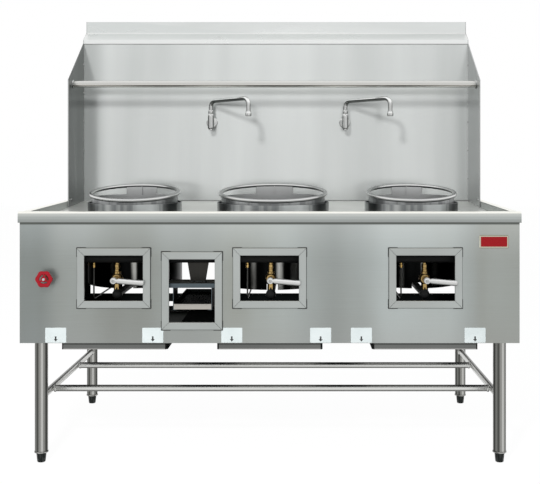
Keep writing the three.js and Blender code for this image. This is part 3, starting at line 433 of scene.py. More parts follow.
# Painted reflection, darker below a slanted line on the riser; a painted highlight on the slope below the fold, a
# painted glint along the fold and a painted shadow line at the foot of the cap.
cap_steel = washed(
    metal("flue_cap_steel", (0.76, 0.78, 0.77), (0.66, 0.68, 0.67), 0.24, ACROSS, metallic=0.85, cloud=0.9,
          cloud_size=1.4, streak=(1.0, 1.0, 4.0), bump=0.008),
    (GLARE, GLARE_LINE + 0.001, GLARE_LINE - 0.004, (0.66, 0.685, 0.675)),
    (Z, CAP_FOLD + 0.001, CAP_FOLD - 0.002, (0.8, 0.815, 0.805)),
    (Z, CAP_FOLD - 0.006, CAP_FOLD + 0.001, (0.95, 0.95, 0.94), 0.001),
    (Z, CAP_FOOT + 0.0035, CAP_FOOT + 0.0015, (0.2, 0.205, 0.2)))
casing_steel = metal("flue_casing_steel", (0.56, 0.58, 0.57), (0.45, 0.47, 0.46), 0.32, UPRIGHT, metallic=0.85,
                     cloud=0.7, cloud_size=1.5, streak=(2.0, 2.0, 0.3))
print("splash:", splash_steel.name, side_splash_steel.name, cap_steel.name, casing_steel.name)

# %% [markdown]
# ## Round and polished steel
# Pipe legs, the rack tube, the wok rings and the chambers all carry painted reflections of the room in
# bands, with painted highlights and painted shade by where they face. The collar of a chamber is bright
# above the deck. Below it the steel has painted shade, nearly black as in the shade of the cabinet, with
# a few pale upright streaks of painted reflection.

# %% Round and polished steel
RING_MIDDLE = middle_of("wok_ring_middle").y

# Painted reflections: a dark and a light band down the leg, and painted shade along both flanks.
leg_steel = washed(
    banded("leg_pipe", (0.27, 0.27, 0.255), (0.16, 0.162, 0.152), 0.2, (2.6, 2.6, 2.6), 3.1),
    (FACING_X, -0.5, -0.18, (0.075, 0.076, 0.07), 0.08),
    (FACING_X, 0.18, 0.52, (0.5, 0.5, 0.48), 0.1))
flanks(leg_steel, 0.7, 0.84, (0.035, 0.036, 0.033))
# Painted reflection darker on top and painted shade underneath.
bar_steel = washed(
    banded("cross_bar_pipe", (0.74, 0.75, 0.73), (0.56, 0.56, 0.54), 0.3, (2.2, 2.2, 3.2), 5.2),
    (FACING_Z, 0.68, 0.9, (0.2, 0.2, 0.192)),
    (FACING_Z, -0.24, -0.6, (0.1, 0.1, 0.095)))
# Painted reflection: a darker line below the middle of the tube.
rack_steel = washed(
    banded("rack_tube", (0.74, 0.74, 0.715), (0.58, 0.58, 0.555), 0.22, (2.2, 2.2, 2.2), 9.4),
    (FACING_Z, -0.55, -0.3, (0.28, 0.27, 0.245), 0.07))
# Painted highlight along the bar, a darker painted reflection on top and painted shade underneath.
ring_steel = washed(
    banded("wok_ring_bar", (0.46, 0.47, 0.465), (0.32, 0.33, 0.33), 0.26, (1.4, 1.4, 2.2), 7.7),
    (FACING_Z, 0.02, 0.58, (0.74, 0.745, 0.735), 0.2),
    (FACING_Z, 0.84, 1.0, (0.36, 0.365, 0.36)),
    (FACING_Z, -0.25, -0.75, (0.13, 0.135, 0.135)))
# Painted light on the faces at the back of the ring that turn to the front, where the upright plate is.
band_steel = banded("wok_ring_band", (0.48, 0.49, 0.495), (0.28, 0.288, 0.292), 0.34, (5.0, 5.0, 1.0), 2.3)
overlay(band_steel, both(band_steel, fade(band_steel, Y, RING_MIDDLE + 0.06, RING_MIDDLE + 0.08),
                         fade(band_steel, FACING_Y, -0.3, -0.6)), (0.66, 0.67, 0.67))
# Painted shade along both flanks and underneath, and a painted highlight on the upper faces.
plated_steel = banded("plated_fitting", (0.66, 0.67, 0.66), (0.4, 0.405, 0.4), 0.2, (1.8, 1.8, 1.8), 4.4)
flanks(plated_steel, 0.55, 0.8, (0.13, 0.135, 0.13))
washed(plated_steel, (FACING_Z, -0.15, -0.7, (0.14, 0.145, 0.14)),
       (FACING_Z, 0.22, 0.72, (0.9, 0.91, 0.9), 0.14))
# Painted highlight on the upper faces, painted shade underneath.
lever_steel = washed(
    metal("lever_bar", (0.62, 0.625, 0.615), (0.54, 0.545, 0.53), 0.32, ALL_WAYS, metallic=0.85, bump=0.02),
    (FACING_Z, 0.1, 0.75, (0.86, 0.865, 0.86)),
    (FACING_Z, -0.15, -0.8, (0.2, 0.205, 0.2)))

# Painted reflections in upright stripes and painted shade on both flanks; below the deck, painted shade nearly black
# with streaks of painted reflection.
collar_steel = washed(
    banded("chamber_steel", (0.52, 0.535, 0.535), (0.3, 0.315, 0.32), 0.32, (9.0, 9.0, 1.0), 6.2, low=0.38, high=0.64,
           metallic=0.95),
    (FACING_X, 0.16, 0.56, (0.66, 0.685, 0.69), 0.1),
    (FACING_X, -0.46, -0.34, (0.6, 0.615, 0.615), 0.06))
flanks(collar_steel, 0.6, 0.84, (0.05, 0.055, 0.056))
shade_below_deck = fade(collar_steel, Z, DECK_LINE - 0.02, DECK_LINE - 0.045)
overlay(collar_steel, shade_below_deck, (0.005, 0.0055, 0.0055))
for start, end, shine in ((-0.34, -0.27, 0.4), (0.09, 0.19, 0.8), (0.33, 0.43, 0.35)):
    streak = both(collar_steel, shade_below_deck, stripe(collar_steel, FACING_X, start, end, 0.03))
    overlay(collar_steel, streak, (shine, shine, 0.95 * shine))
print("round steel: 8 finishes")

# %% [markdown]
# ## Dull steel, iron, brass and paint
# The base frame, the chute and the trays are plain mill finish and lie in shade. The nearly black
# colours of the frame, the chute and the strainer are painted shade, and some of their faces carry
# painted light. Gas pipes are painted black, burners are rough castings, and the valves are machined
# brass with painted reflections in dark brown bands.

# %% Dull steel, iron, brass and paint
CHUTE_LIP = 0.679
TRAY_RIM = 0.455
TRAY_FOLD = 0.4425
PILOT_FOOT = 0.731
EDGE = 0.0005

# Painted shade: the base frame's colour is made nearly black.
frame_steel = metal("base_frame_steel", (0.02, 0.024, 0.024), (0.01, 0.012, 0.012), 0.5, ACROSS, glance=0.1)
# Painted shade in the nearly black colour; painted light on the up-facing faces and, bluish, on the front faces below
# the lip.
chute_steel = washed(
    metal("chute_steel", (0.05, 0.048, 0.044), (0.026, 0.026, 0.024), 0.42, UPRIGHT, glance=0.3),
    (FACING_Z, 0.5, 0.9, (0.36, 0.37, 0.35)))
overlay(chute_steel, both(chute_steel, fade(chute_steel, FACING_Y, -0.5, -0.9),
                          fade(chute_steel, Z, CHUTE_LIP + EDGE, CHUTE_LIP - EDGE)), (0.1, 0.125, 0.14))
# Painted shade on the up-facing faces.
tray_steel = washed(
    metal("drip_tray_steel", (0.19, 0.195, 0.19), (0.13, 0.135, 0.13), 0.4, ACROSS, glance=0.4),
    (Z, TRAY_RIM - 0.0015, TRAY_RIM + 0.0015, (0.08, 0.084, 0.08)),
    (Z, TRAY_FOLD, TRAY_FOLD - 0.0015, (0.34, 0.34, 0.33)),
    (FACING_Z, 0.5, 0.9, (0.03, 0.032, 0.03)))
for side in SIDES:
    tray_low, tray_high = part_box("drip_tray_" + side)
    washed(tray_steel, *((X, start, end, (0.012, 0.012, 0.012), 0.0008) for start, end in
                         ((tray_low.x - 0.001, tray_low.x + 0.0045), (tray_high.x - 0.0045, tray_high.x + 0.001))))
# Painted shade in the nearly black colour, with a painted highlight on the front faces near the front.
strainer_steel = metal("strainer_steel", (0.03, 0.036, 0.036), (0.014, 0.018, 0.018), 0.42, ACROSS, glance=0.3)
overlay(strainer_steel, both(strainer_steel, fade(strainer_steel, FACING_Y, -0.5, -0.9),
                             fade(strainer_steel, Y, FACE + 0.02, FACE + 0.018)), (0.5, 0.48, 0.44))
# Painted reflections in bands on the feet and their flanges.
foot_steel = banded("foot_casting", (0.042, 0.045, 0.044), (0.015, 0.017, 0.016), 0.34, (2.6, 2.6, 2.6), 3.9)
flange_steel = banded("foot_flange", (0.42, 0.42, 0.4), (0.14, 0.14, 0.135), 0.26, (2.6, 2.6, 2.6), 3.1)

pipe_black = metal("black_pipe", (0.016, 0.017, 0.017), (0.006, 0.006, 0.006), 0.42, ALL_WAYS, bump=0.2,
                   metallic=0.0, glance=0.15)
tube_grey = metal("pilot_tube", (0.1, 0.1, 0.095), (0.03, 0.03, 0.028), 0.35, ALL_WAYS, metallic=0.9)
burner_iron = metal("cast_burner", (0.1, 0.095, 0.09), (0.05, 0.048, 0.046), 0.62, ALL_WAYS, bump=0.5, metallic=0.6)
overlay(burner_iron, mask_of(burner_iron, EDGES, "Object", "Edge"), (0.22, 0.2, 0.18))
# Painted reflections in dark brown bands on the brass.
valve_brass = room_bands(
    metal("machined_brass", (0.58, 0.41, 0.17), (0.3, 0.2, 0.075), 0.26, ALL_WAYS, bump=0.06),
    (0.16, 0.09, 0.03), (2.4, 2.4, 2.4), 2.0, low=0.4, high=0.52)
# Painted shade on the faces of the wheel that turn neither to the front nor to the back.
wheel_red = washed(
    metal("red_enamel", (0.35, 0.008, 0.017), (0.22, 0.004, 0.01), 0.24, ALL_WAYS, bump=0.05, metallic=0.0, glance=0.4),
    (FACING_Y, -0.35, 0.35, (0.05, 0.001, 0.002)))
pilot_brass = washed(
    metal("pilot_brass", (0.7, 0.48, 0.18), (0.42, 0.27, 0.09), 0.26, ALL_WAYS, bump=0.06),
    (Z, PILOT_FOOT + EDGE, PILOT_FOOT - EDGE, (0.05, 0.05, 0.045)))
print("dull steel, iron, brass and paint ready")

# %% [markdown]
# ## Trim, badge and plate finishes
# The window frames are linished bar, a shade lighter than the sheet behind them. The badge is a
# bright bezel round plain red enamel, and the six plates by the trays are bare white plastic.

# %% Trim, badge and plate finishes
# Painted highlight on the up-facing faces of the bars, painted shade on the down-facing ones.
trim_steel = washed(
    metal("trim_bar", (0.435, 0.462, 0.45), (0.385, 0.405, 0.392), 0.28, ACROSS, metallic=0.9, cloud=0.8),
    (FACING_Z, 0.25, 0.8, (0.72, 0.715, 0.66)),
    (FACING_Z, -0.25, -0.8, (0.1, 0.105, 0.1)))
# Painted shade: a dark finish for the strip and the corner pieces that stand in for the shadows round a frame.
outline_shade = metal("trim_outline_shade", (0.05, 0.052, 0.05), (0.03, 0.032, 0.03), 0.7, ALL_WAYS, metallic=0.0)
# Painted reflections in bands, with painted shade on faces turned down and to the right.
bezel_chrome = washed(
    banded("badge_bezel", (0.85, 0.83, 0.72), (0.2, 0.18, 0.1), 0.12, (2.0, 2.0, 2.0), 1.0),
    (((0.6, 0.0, -0.8), "Normal"), 0.15, 0.6, (0.26, 0.23, 0.14)))
badge_red = metal("badge_enamel", (0.3, 0.008, 0.012), (0.23, 0.006, 0.009), 0.24, ALL_WAYS, metallic=0.0, glance=0.3)
plate_white = metal("plate_plastic", (0.68, 0.735, 0.735), (0.6, 0.66, 0.66), 0.4, ALL_WAYS, metallic=0.0,
                    cloud=0.9, cloud_size=12.0)
print_black = metal("plate_print", (0.03, 0.032, 0.032), (0.02, 0.02, 0.02), 0.5, ALL_WAYS, metallic=0.0)
print("trim, badge and plate finishes ready")

# %% [markdown]
# ## Which finish goes where
# The longest name that a node starts with decides its finish. The solids of the frame keep their
# meshes; only the material in their first slot changes.

# %% Finish of every node
FINISH = {
    "front_panel": cabinet_steel, "side_panel": side_steel, "rim": rim_steel, "gutter": deck_steel,
    "deck_plate": deck_steel, "chamber": collar_steel, "splash_back": splash_steel,
    "splash_side": side_splash_steel, "flue_cap": cap_steel, "chase_casing": casing_steel, "trim": trim_steel,
    "pipe_rack": rack_steel, "leg_frame": leg_steel, "cross_bar": bar_steel, "wok_ring": ring_steel,
    "valve_lever": lever_steel, "faucet": plated_steel, "spout": plated_steel, "base_frame": frame_steel,
    "drain_sump": chute_steel, "drip_tray": tray_steel, "strainer_tray": strainer_steel, "foot": foot_steel,
    "gas_manifold": pipe_black, "gas_line": pipe_black, "burner": burner_iron, "gas_valve": valve_brass,
    "pilot": pilot_brass, "water_valve": valve_brass, "handwheel": wheel_red,
}
for node, thing in NODES.items():
    thing.data.materials.clear()
    thing.data.materials.append(FINISH[max((start for start in FINISH if node.startswith(start)), key=len)])
print("finishes:", len(FINISH), "for", len(NODES), "nodes")

# %% [markdown]
# ## Forms
# Most pieces here are turned, bent or folded, as on the real range. One small builder covers them:
# it joins rows of points into a closed skin. Turning, bending a tube and pressing a slab are all
# rows of points, so they share it. Each finished piece replaces the plain solid it is made from.

# %% Form builder
MM = 0.001
SHARP = math.radians(35)
SHARP_FLAT = math.radians(15)
UP = (0.0, 0.0, 1.0)
BACK = (0.0, 1.0, 0.0)
FORWARD = (0.0, -1.0, 0.0)


def round_steps(count):
    return [2 * math.pi * i / count for i in range(count)]


class Form:
    """Closed skins in one mesh. Each skin has the finish of the given number."""

    def __init__(self, *finishes):
        self.mesh = bmesh.new()
        self.finishes = finishes

    def skin(self, rows, finish=0, loop=False):
        rings = [[self.mesh.verts.new(point) for point in row] for row in rows]
        faces = []
        for low, high in zip(rings, rings[1:] + rings[:1] if loop else rings[1:]):
            for i in range(len(low)):
                j = (i + 1) % len(low)
                faces.append(self.mesh.faces.new((low[i], low[j], high[j], high[i])))
        if not loop:
            faces += [self.mesh.faces.new(rings[0][::-1]), self.mesh.faces.new(rings[-1])]
        for face in faces:
            face.material_index = finish

    def turned(self, profile, origin, axis=UP, sides=32, finish=0):
        """Turns points, (radius, height) in millimetres, about an axis from its origin."""
        turn = Vector(UP).rotation_difference(Vector(axis)).to_matrix() * MM
        self.skin([[Vector(origin) + turn @ Vector((radius * math.cos(a), radius * math.sin(a), height))
                    for a in round_steps(sides)] for radius, height in profile], finish)

    def rod(self, radius, start, end, soft=0.0008, sides=32, finish=0):
        """A bar from start to end with its edges broken by soft."""
        axis = Vector(end) - Vector(start)
        profile = ((radius - soft, 0), (radius, soft), (radius, axis.length - soft), (radius - soft, axis.length))
        self.turned([(r / MM, height / MM) for r, height in profile], start, axis, sides, finish)

    def bent(self, corners, radius, bend, sides=20, finish=0, steps=10):
        """A tube along corners that are rounded by bend."""
        corners = [Vector(corner) for corner in corners]
        path = [corners[0]]
        for before, corner, after in zip(corners, corners[1:], corners[2:]):
            start = corner + (before - corner).normalized() * bend
            end = corner + (after - corner).normalized() * bend
            path += [start.lerp(corner, i / steps).lerp(corner.lerp(end, i / steps), i / steps)
                     for i in range(steps + 1)]
        path.append(corners[-1])
        along = (path[1] - path[0]).normalized()
        side = along.orthogonal().normalized()
        rows = []
        for i, point in enumerate(path):
            ahead = (path[min(i + 1, len(path) - 1)] - path[max(i - 1, 0)]).normalized()
            side = along.rotation_difference(ahead) @ side
            along = ahead
            up = ahead.cross(side)
            rows.append([point + radius * (math.cos(a) * side + math.sin(a) * up) for a in round_steps(sides)])
        self.skin(rows, finish)

    def box(self, low, high, finish=0):
        (x0, y0, z0), (x1, y1, z1) = low, high
        self.skin([[(x0, y0, z), (x1, y0, z), (x1, y1, z), (x0, y1, z)] for z in (z0, z1)], finish)

    def plate(self, low, high, corner, finish=0, soft=0.0004):
        """An upright plate facing the front, with round corners and a softened front edge."""
        (x0, back, z0), (x1, front, z1) = low, high

        def outline(y, inset):
            radius = corner - inset
            return [(cx + radius * math.cos(a), y, cz + radius * math.sin(a))
                    for cx, cz, start in ((x1 - corner, z1 - corner, 0), (x0 + corner, z1 - corner, 1),
                                          (x0 + corner, z0 + corner, 2), (x1 - corner, z0 + corner, 3))
                    for a in (math.pi / 2 * (start + i / 4) for i in range(5))]

        self.skin([outline(back, 0), outline(front + soft, 0), outline(front, soft)], finish)


def finished(name, data, body, replaced=(), step=SHARP):
    """Gives a mesh smooth shading and its body, and hides the solids it stands for."""
    data.shade_smooth()
    data.set_sharp_from_angle(angle=step)
    thing = bpy.data.objects.new(name, data)
    scene.collection.objects.link(thing)
    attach(thing, body)
    if replaced:
        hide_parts(*replaced)
    return thing


def piece(name, form, body, replaced=(), step=SHARP):
    bmesh.ops.recalc_face_normals(form.mesh, faces=form.mesh.faces)
    data = bpy.data.meshes.new(name)
    form.mesh.to_mesh(data)
    form.mesh.free()
    for finish in form.finishes:
        data.materials.append(finish)
    finished(name, data, body, replaced, step)


def stand_in(node, form, step=SHARP):
    """A piece that takes the place of one node of the frame."""
    piece(node + "_dressed", form, BODY_OF[node], (node,), step)


print("form builder ready")

# %% [markdown]
# ## Softened solids
# Some solids already have the right shape and only need rounder shading and broken edges. A copy is
# merged and its flat faces are joined, then a narrow bevel catches the light, as a deburred edge
# does. The solid of the frame stays as it is, hidden behind its copy.

# %% Softened copies of solids
MERGE = 0.00002
EDGE_OF = {"chamber": 0.0005, "gas_manifold": 0.0005, "water_valve": 0.0006, "drip_tray": 0.0005, "flue_cap": 0.0007,
           "rim": 0.0004, "splash_side": 0.0006}


def softened(node, width):
    data = NODES[node].data.copy()
    form = bmesh.new()
    form.from_mesh(data)
    bmesh.ops.remove_doubles(form, verts=form.verts, dist=MERGE)
    bmesh.ops.dissolve_limit(form, angle_limit=math.radians(1), verts=form.verts, edges=form.edges)
    form.to_mesh(data)
    form.free()
    thing = finished(node + "_soft", data, BODY_OF[node], (node,))
    bevel = thing.modifiers.new("edge", "BEVEL")
    bevel.width = width
    bevel.segments = 2
    bevel.limit_method = "ANGLE"
    bevel.angle_limit = math.radians(40)
    bevel.harden_normals = True


soft_nodes = [(node, edge) for start, edge in EDGE_OF.items() for node in sorted(NODES) if node.startswith(start)]
for node, edge in soft_nodes:
    softened(node, edge)
print("softened:", len(soft_nodes), "solids")

# %% [markdown]
# ## Window frames
# Each opening in the front has a frame of flat bar, mitred at the corners. Under it lies a dark strip
# of painted shade, which stands in for the shadow gap round the frame, with short dark pieces of
# painted shade at the corners.
# The bars are separate slabs with a hair's breadth between them, so the mitres show as fine lines.

# %% Window frames
# Reach, width and profiles of the dark strip and corner pieces of painted shade round a frame.
OUTLINE_SHADE_REACH = 0.0014
OUTLINE_SHADE_WIDTH = 0.028
MITRE_GAP = 0.0007
CORNER_SHADE_LENGTH = 0.032
BAR_PROFILE = ((0, 0), (0, 0.0055), (0.0007, 0.007), (0.0022, 0.0077), (0.0248, 0.0077), (0.0263, 0.007),
               (0.027, 0.0055), (0.027, 0))
OUTLINE_SHADE_PROFILE = ((0, 0.0), (0, 0.0012), (OUTLINE_SHADE_WIDTH, 0.0012), (OUTLINE_SHADE_WIDTH, 0.0))
CORNER_SHADE_PROFILE = ((-0.0032, 0), (-0.0032, 0.0018), (-0.0006, 0.0018), (-0.0006, 0))


def window_frame(node):
    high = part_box(node)[1]
    centre = middle_of(node)
    half = high - centre
    form = Form(trim_steel, outline_shade)
    for along, across, run, reach in (((1, 0), (0, 1), half.x, half.z), ((-1, 0), (0, -1), half.x, half.z),
                                      ((0, -1), (1, 0), half.z, half.x), ((0, 1), (-1, 0), half.z, half.x)):
        def place(t, u, v):
            x, z = (a * t + b * (reach - u) for a, b in zip(along, across))
            return (centre.x + x, high.y - v, centre.z + z)

        form.skin([[place(side * (run - u - MITRE_GAP), u, v) for u, v in BAR_PROFILE] for side in (-1, 1)])
        form.skin([[place(side * (run + OUTLINE_SHADE_REACH - w), w - OUTLINE_SHADE_REACH, v) for w, v in OUTLINE_SHADE_PROFILE]
                   for side in (-1, 1)], finish=1)
        for side in (-1, 1):
            ends = sorted((side * (run + OUTLINE_SHADE_REACH + 0.0004), side * (run - CORNER_SHADE_LENGTH)))
            form.skin([[place(t, w, v) for w, v in CORNER_SHADE_PROFILE] for t in ends], finish=1)
    stand_in(node, form, SHARP_FLAT)


for side in SIDES + ("drain",):
    window_frame("trim_" + side)
print("window frames: 4")

# %% [markdown]
# ## Badge and plates
# A badge sits high on the right, here a plain red enamel field in a bright bezel. Six small white
# plates mark the drip trays. They stay bare but for a small arrow pointing down.

# %% Badge and plates
BADGE_LEFT, BADGE_FOOT, BADGE_RIGHT, BADGE_TOP = 0.7666, 0.8097, 0.8738, 0.8569
BEZEL = 0.0055
PLATE_WIDTH, PLATE_HEIGHT = 0.077, 0.055
PLATE_LEFTS = (-0.821, -0.466, -0.177, 0.148, 0.297, 0.713)
PLATE_FOOT = 0.4635

bezel = Form(bezel_chrome)
bezel.plate((BADGE_LEFT, FACE + 0.0002, BADGE_FOOT), (BADGE_RIGHT, FACE - 0.0035, BADGE_TOP), 0.004, soft=0.0012)
piece("badge_bezel", bezel, "root")
field = Form(badge_red)
field.plate((BADGE_LEFT + BEZEL, FACE - 0.003, BADGE_FOOT + BEZEL),
            (BADGE_RIGHT - BEZEL, FACE - 0.0042, BADGE_TOP - BEZEL), 0.0025)
piece("badge_field", field, "root")

labels = Form(plate_white, print_black)
for left in PLATE_LEFTS:
    labels.plate((left, FACE + 0.0002, PLATE_FOOT),
                 (left + PLATE_WIDTH, FACE - 0.0012, PLATE_FOOT + PLATE_HEIGHT), 0.003)
    middle = left + PLATE_WIDTH / 2
    labels.box((middle - 0.0028, FACE - 0.0015, PLATE_FOOT + 0.013),
               (middle + 0.0028, FACE - 0.001, PLATE_FOOT + 0.0235), finish=1)
    labels.skin([[(middle - 0.0072, y, PLATE_FOOT + 0.013), (middle + 0.0072, y, PLATE_FOOT + 0.013),
                  (middle, y, PLATE_FOOT + 0.0045)] for y in (FACE - 0.001, FACE - 0.0015)], finish=1)
piece("tray_plates", labels, "root")
print("badge and", len(PLATE_LEFTS), "plates")

# %% [markdown]
# ## Valves and levers
# Three brass valves hang from the gas pipe, one behind each window. From the top there are a
# nipple, a hexagonal neck, a round body with a bonnet towards the cook, and a tapered hexagon on a
# black union. The lever is a thick round bar on a small hub, held by a slotted screw.

# %% Valves and levers
TRAIN_Y = FACE + 0.05
VALVE_Z = PIVOT_OF["valve_lever_left"].z
LEVER_DROOP = math.radians(5)


def valve(side):
    low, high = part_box("gas_valve_" + side)
    at = (PIVOT_OF["valve_lever_" + side].x, TRAIN_Y, VALVE_Z)
    top, foot, stem = (high.z - VALVE_Z) / MM, (low.z - VALVE_Z) / MM, (TRAIN_Y - low.y) / MM
    form = Form(valve_brass, plated_steel, pipe_black)
    form.turned([(8, 0), (8, top)], at)
    form.turned([(10, 24), (11, 25.2), (11, 33.8), (9.2, 35)], at, sides=6)
    form.turned([(9.8, 35.2), (9.8, 40)], at)
    form.turned([(10, 40.2), (11, 41.2), (11, 50.8), (9.8, 52)], at, sides=6)
    form.turned([(10, -20.5), (16.5, -15), (20.2, -7), (21, 0), (20.2, 7),
                 (16.5, 14.5), (13, 18), (13, 25), (11.8, 26.2)], at, sides=40)
    form.turned([(12.5, -40), (13.5, -38.5), (12.5, -19)], at, sides=6)
    form.turned([(11, foot), (12, foot + 1), (12, -33), (11, -32)], at, finish=2)
    form.turned([(15, 12), (15, 20), (12, 21.5), (12, 34), (11, 35)], at, axis=FORWARD)
    form.turned([(6, 30), (6, stem - 0.6), (5.4, stem)], at, axis=FORWARD, finish=1)
    stand_in("gas_valve_" + side, form)


def lever(side):
    pivot = PIVOT_OF["valve_lever_" + side]
    low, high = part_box("valve_lever_" + side)
    form = Form(lever_steel, plated_steel, print_black)
    form.turned([(10.5, 0), (12, 1.2), (12, 12), (11.2, 13.6)],
                (pivot.x, high.y - 0.0008, pivot.z), axis=FORWARD, sides=40)
    form.turned([(7, 0), (7, 1.4), (5.8, 2.4), (3, 2.6)],
                (pivot.x, high.y - 0.014, pivot.z), axis=FORWARD, finish=1)
    form.box((pivot.x - 0.0052, low.y, pivot.z - 0.0008), (pivot.x + 0.0052, low.y + 0.003, pivot.z + 0.0008), finish=2)
    form.turned([(7, 6), (7.2, 10), (8.4, 13), (9.8, 16.5), (10.3, 19), (10.3, 103),
                 (9.9, 106.2), (8.6, 109.2), (6.2, 111.2), (3.4, 112)], pivot,
                axis=(math.cos(LEVER_DROOP), 0, -math.sin(LEVER_DROOP)), sides=28)
    stand_in("valve_lever_" + side, form)


for side in SIDES:
    valve(side)
    lever(side)
print("valves and levers at height", round(VALVE_Z, 3))

# %% [markdown]
# ## Gas lines, pilots and burners
# Black iron pipe runs from a round elbow under each valve back to the burner. A pilot tube leaves a
# small brass fitting beside it. The burner is a cast disc with a ring of drilled jets on top; the
# jets come later, from Geometry Nodes.

# %% Gas lines, pilots and burners
STATION_X = {"left": -0.57, "middle": 0.0, "right": 0.57}
STATION_Y = FACE + 0.44
STATION_Z = 0.92286
DECK_TILT = math.atan(0.0244)
GAS_Z = VALVE_Z - 0.059
GAS_RADIUS = 0.0134
PILOT_TUBE = 0.003


def on_station(side):
    return Matrix.Translation((STATION_X[side], STATION_Y, STATION_Z)) @ Matrix.Rotation(DECK_TILT, 4, "X")


def ball(radius, steps=12):
    """The profile of a ball, with a tiny flat at each pole."""
    return [(radius * max(math.cos(a), 0.02), radius * math.sin(a))
            for a in (math.pi * (i / steps - 0.5) for i in range(steps + 1))]


def gas_line(side):
    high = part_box("gas_line_" + side)[1]
    at = Vector((PIVOT_OF["valve_lever_" + side].x, TRAIN_Y, GAS_Z))
    back = high.y - GAS_RADIUS
    form = Form(pipe_black)
    form.bent([at, (at.x, back, at.z), (at.x, back, high.z - 0.0006)], GAS_RADIUS, 0.03)
    form.turned(ball(19), at)
    form.turned([(13, 0), (13.6, 12), (13.6, 18), (12.6, 19)], at, sides=8)
    form.turned([(15, 0), (17, 6), (17, 23.6), (15.6, 25)], at, axis=BACK)
    stand_in("gas_line_" + side, form)


def pilot(side):
    low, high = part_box("pilot_" + side)
    x, back, run_z = middle_of("pilot_" + side).x, high.y - PILOT_TUBE, low.z + PILOT_TUBE
    form = Form(pilot_brass, tube_grey)
    form.turned([(4.5, 744), (4.5, high.z / MM)], (x, TRAIN_Y, 0), sides=20)
    form.turned([(4, 731.6), (5.6, 733), (6.4, 737), (6.4, 740), (5.6, 744),
                 (4, 745.5)], (x, TRAIN_Y, 0), sides=24)
    form.bent([(x, TRAIN_Y, 0.734), (x, TRAIN_Y, run_z), (x, back, run_z), (x, back, STATION_Z - 0.233)],
              PILOT_TUBE, 0.016, sides=12, finish=1)
    stand_in("pilot_" + side, form)


def burner(side):
    form = Form(burner_iron)
    form.turned([(18.4, -260.7), (18.4, -252.7), (60, -252.7), (70, -250), (73.5, -245),
                 (74, -241), (73, -240), (63, -234), (61, -233.2)], (0, 0, 0), sides=64)
    bmesh.ops.transform(form.mesh, matrix=on_station(side), verts=form.mesh.verts)
    stand_in("burner_" + side, form)


for side in SIDES:
    gas_line(side)
    pilot(side)
    burner(side)
print("gas lines, pilots and burners: 3 each")

# %% [markdown]
# ## Handwheel
# The water control has a small cast wheel with six finger lobes, enamelled red. The rim is a tube
# whose circle swells six times; three spokes run to a hub, and a nut holds the hub on its stem.

# %% Handwheel
def handwheel():
    pivot = PIVOT_OF["handwheel"]
    form = Form(wheel_red, plated_steel)
    rows = []
    for turn in round_steps(96):
        outer = 0.0303 + 0.0017 * math.cos(6 * turn)
        inner = 0.016 + 0.0006 * math.cos(3 * (turn - math.pi / 2))
        middle, half = (outer + inner) / 2, (outer - inner) / 2
        out = Vector((math.cos(turn), 0, math.sin(turn)))
        rows.append([pivot + out * (middle + half * math.cos(a)) + Vector((0, 0.0048 * math.sin(a), 0))
                     for a in round_steps(16)])
    form.skin(rows, loop=True)
    for degrees in (90, 210, 330):
        out = Vector((math.cos(math.radians(degrees)), 0, math.sin(math.radians(degrees))))
        form.rod(0.0034, pivot + out * 0.006, pivot + out * 0.019, sides=14, soft=0.0003)
    form.turned([(9, -15.5), (10.4, -13), (11, -6), (10.6, 3), (8.8, 5.2)], pivot,
                axis=FORWARD)
    form.turned([(5.6, 5), (6.2, 5.6), (6.2, 7), (5.4, 8)], pivot, axis=FORWARD,
                sides=6, finish=1)
    stand_in("handwheel", form)


handwheel()
print("handwheel: 6 lobes, 3 spokes")

# %% [markdown]
# ## Faucets
# Two swing faucets are flanged to the splash. The body is a turned pillar with a domed cap, and the
# spout rises from a round nut, runs out level and turns down into a thicker nozzle.

# %% Faucets
SPOUT_TURN = math.radians(-50)
SPOUT_LENGTH = 0.283
SPOUT_RADIUS = 0.0092
ARM_Z = 1.306


def faucet(side):
    low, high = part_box("faucet_" + side)
    axis = PIVOT_OF["spout_" + side]
    form = Form(plated_steel)
    form.turned([(25, 0), (25, 3), (23.6, 4.8), (18, 6.4), (15, 7)],
                (axis.x, high.y, ARM_Z), axis=FORWARD, sides=40)
    form.rod(0.012, (axis.x, high.y - 0.004, ARM_Z), (axis.x, axis.y, ARM_Z))
    top = (high.z - low.z) / MM
    form.turned([(10, 0), (10, 5), (12.4, 6.2), (13.6, 9), (14, 13), (14, top - 18),
                 (13, top - 8), (11, top - 1.6), (10, top)], (axis.x, axis.y, low.z), sides=40)
    stand_in("faucet_" + side, form)


def spout(side):
    low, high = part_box("spout_" + side)
    axis = PIVOT_OF["spout_" + side]
    end = axis + SPOUT_LENGTH * Vector((math.cos(SPOUT_TURN), math.sin(SPOUT_TURN), 0))
    level = high.z - 0.008
    form = Form(plated_steel)
    form.bent([(axis.x, axis.y, axis.z + 0.002), (axis.x, axis.y, level), (end.x, end.y, level),
               (end.x, end.y, low.z + 0.004)], SPOUT_RADIUS, 0.034)
    form.turned([(10.8, 0), (11.6, 1.2), (11.6, 9), (9.4, 15.7)], axis)
    form.turned([(10.2, 0), (12.8, 1.6), (13.4, 11), (12.2, 14), (10.8, 22)],
                (end.x, end.y, low.z))
    stand_in("spout_" + side, form)


for side in ("left", "right"):
    faucet(side)
    spout(side)
print("faucets: 2, spouts", SPOUT_LENGTH, "m long")

# %% [markdown]
# ## Pipe frame
# The legs are thick polished pipe, joined by thinner rails and cross bars with a small weld collar
# at every joint. Bullet feet screw into the legs.

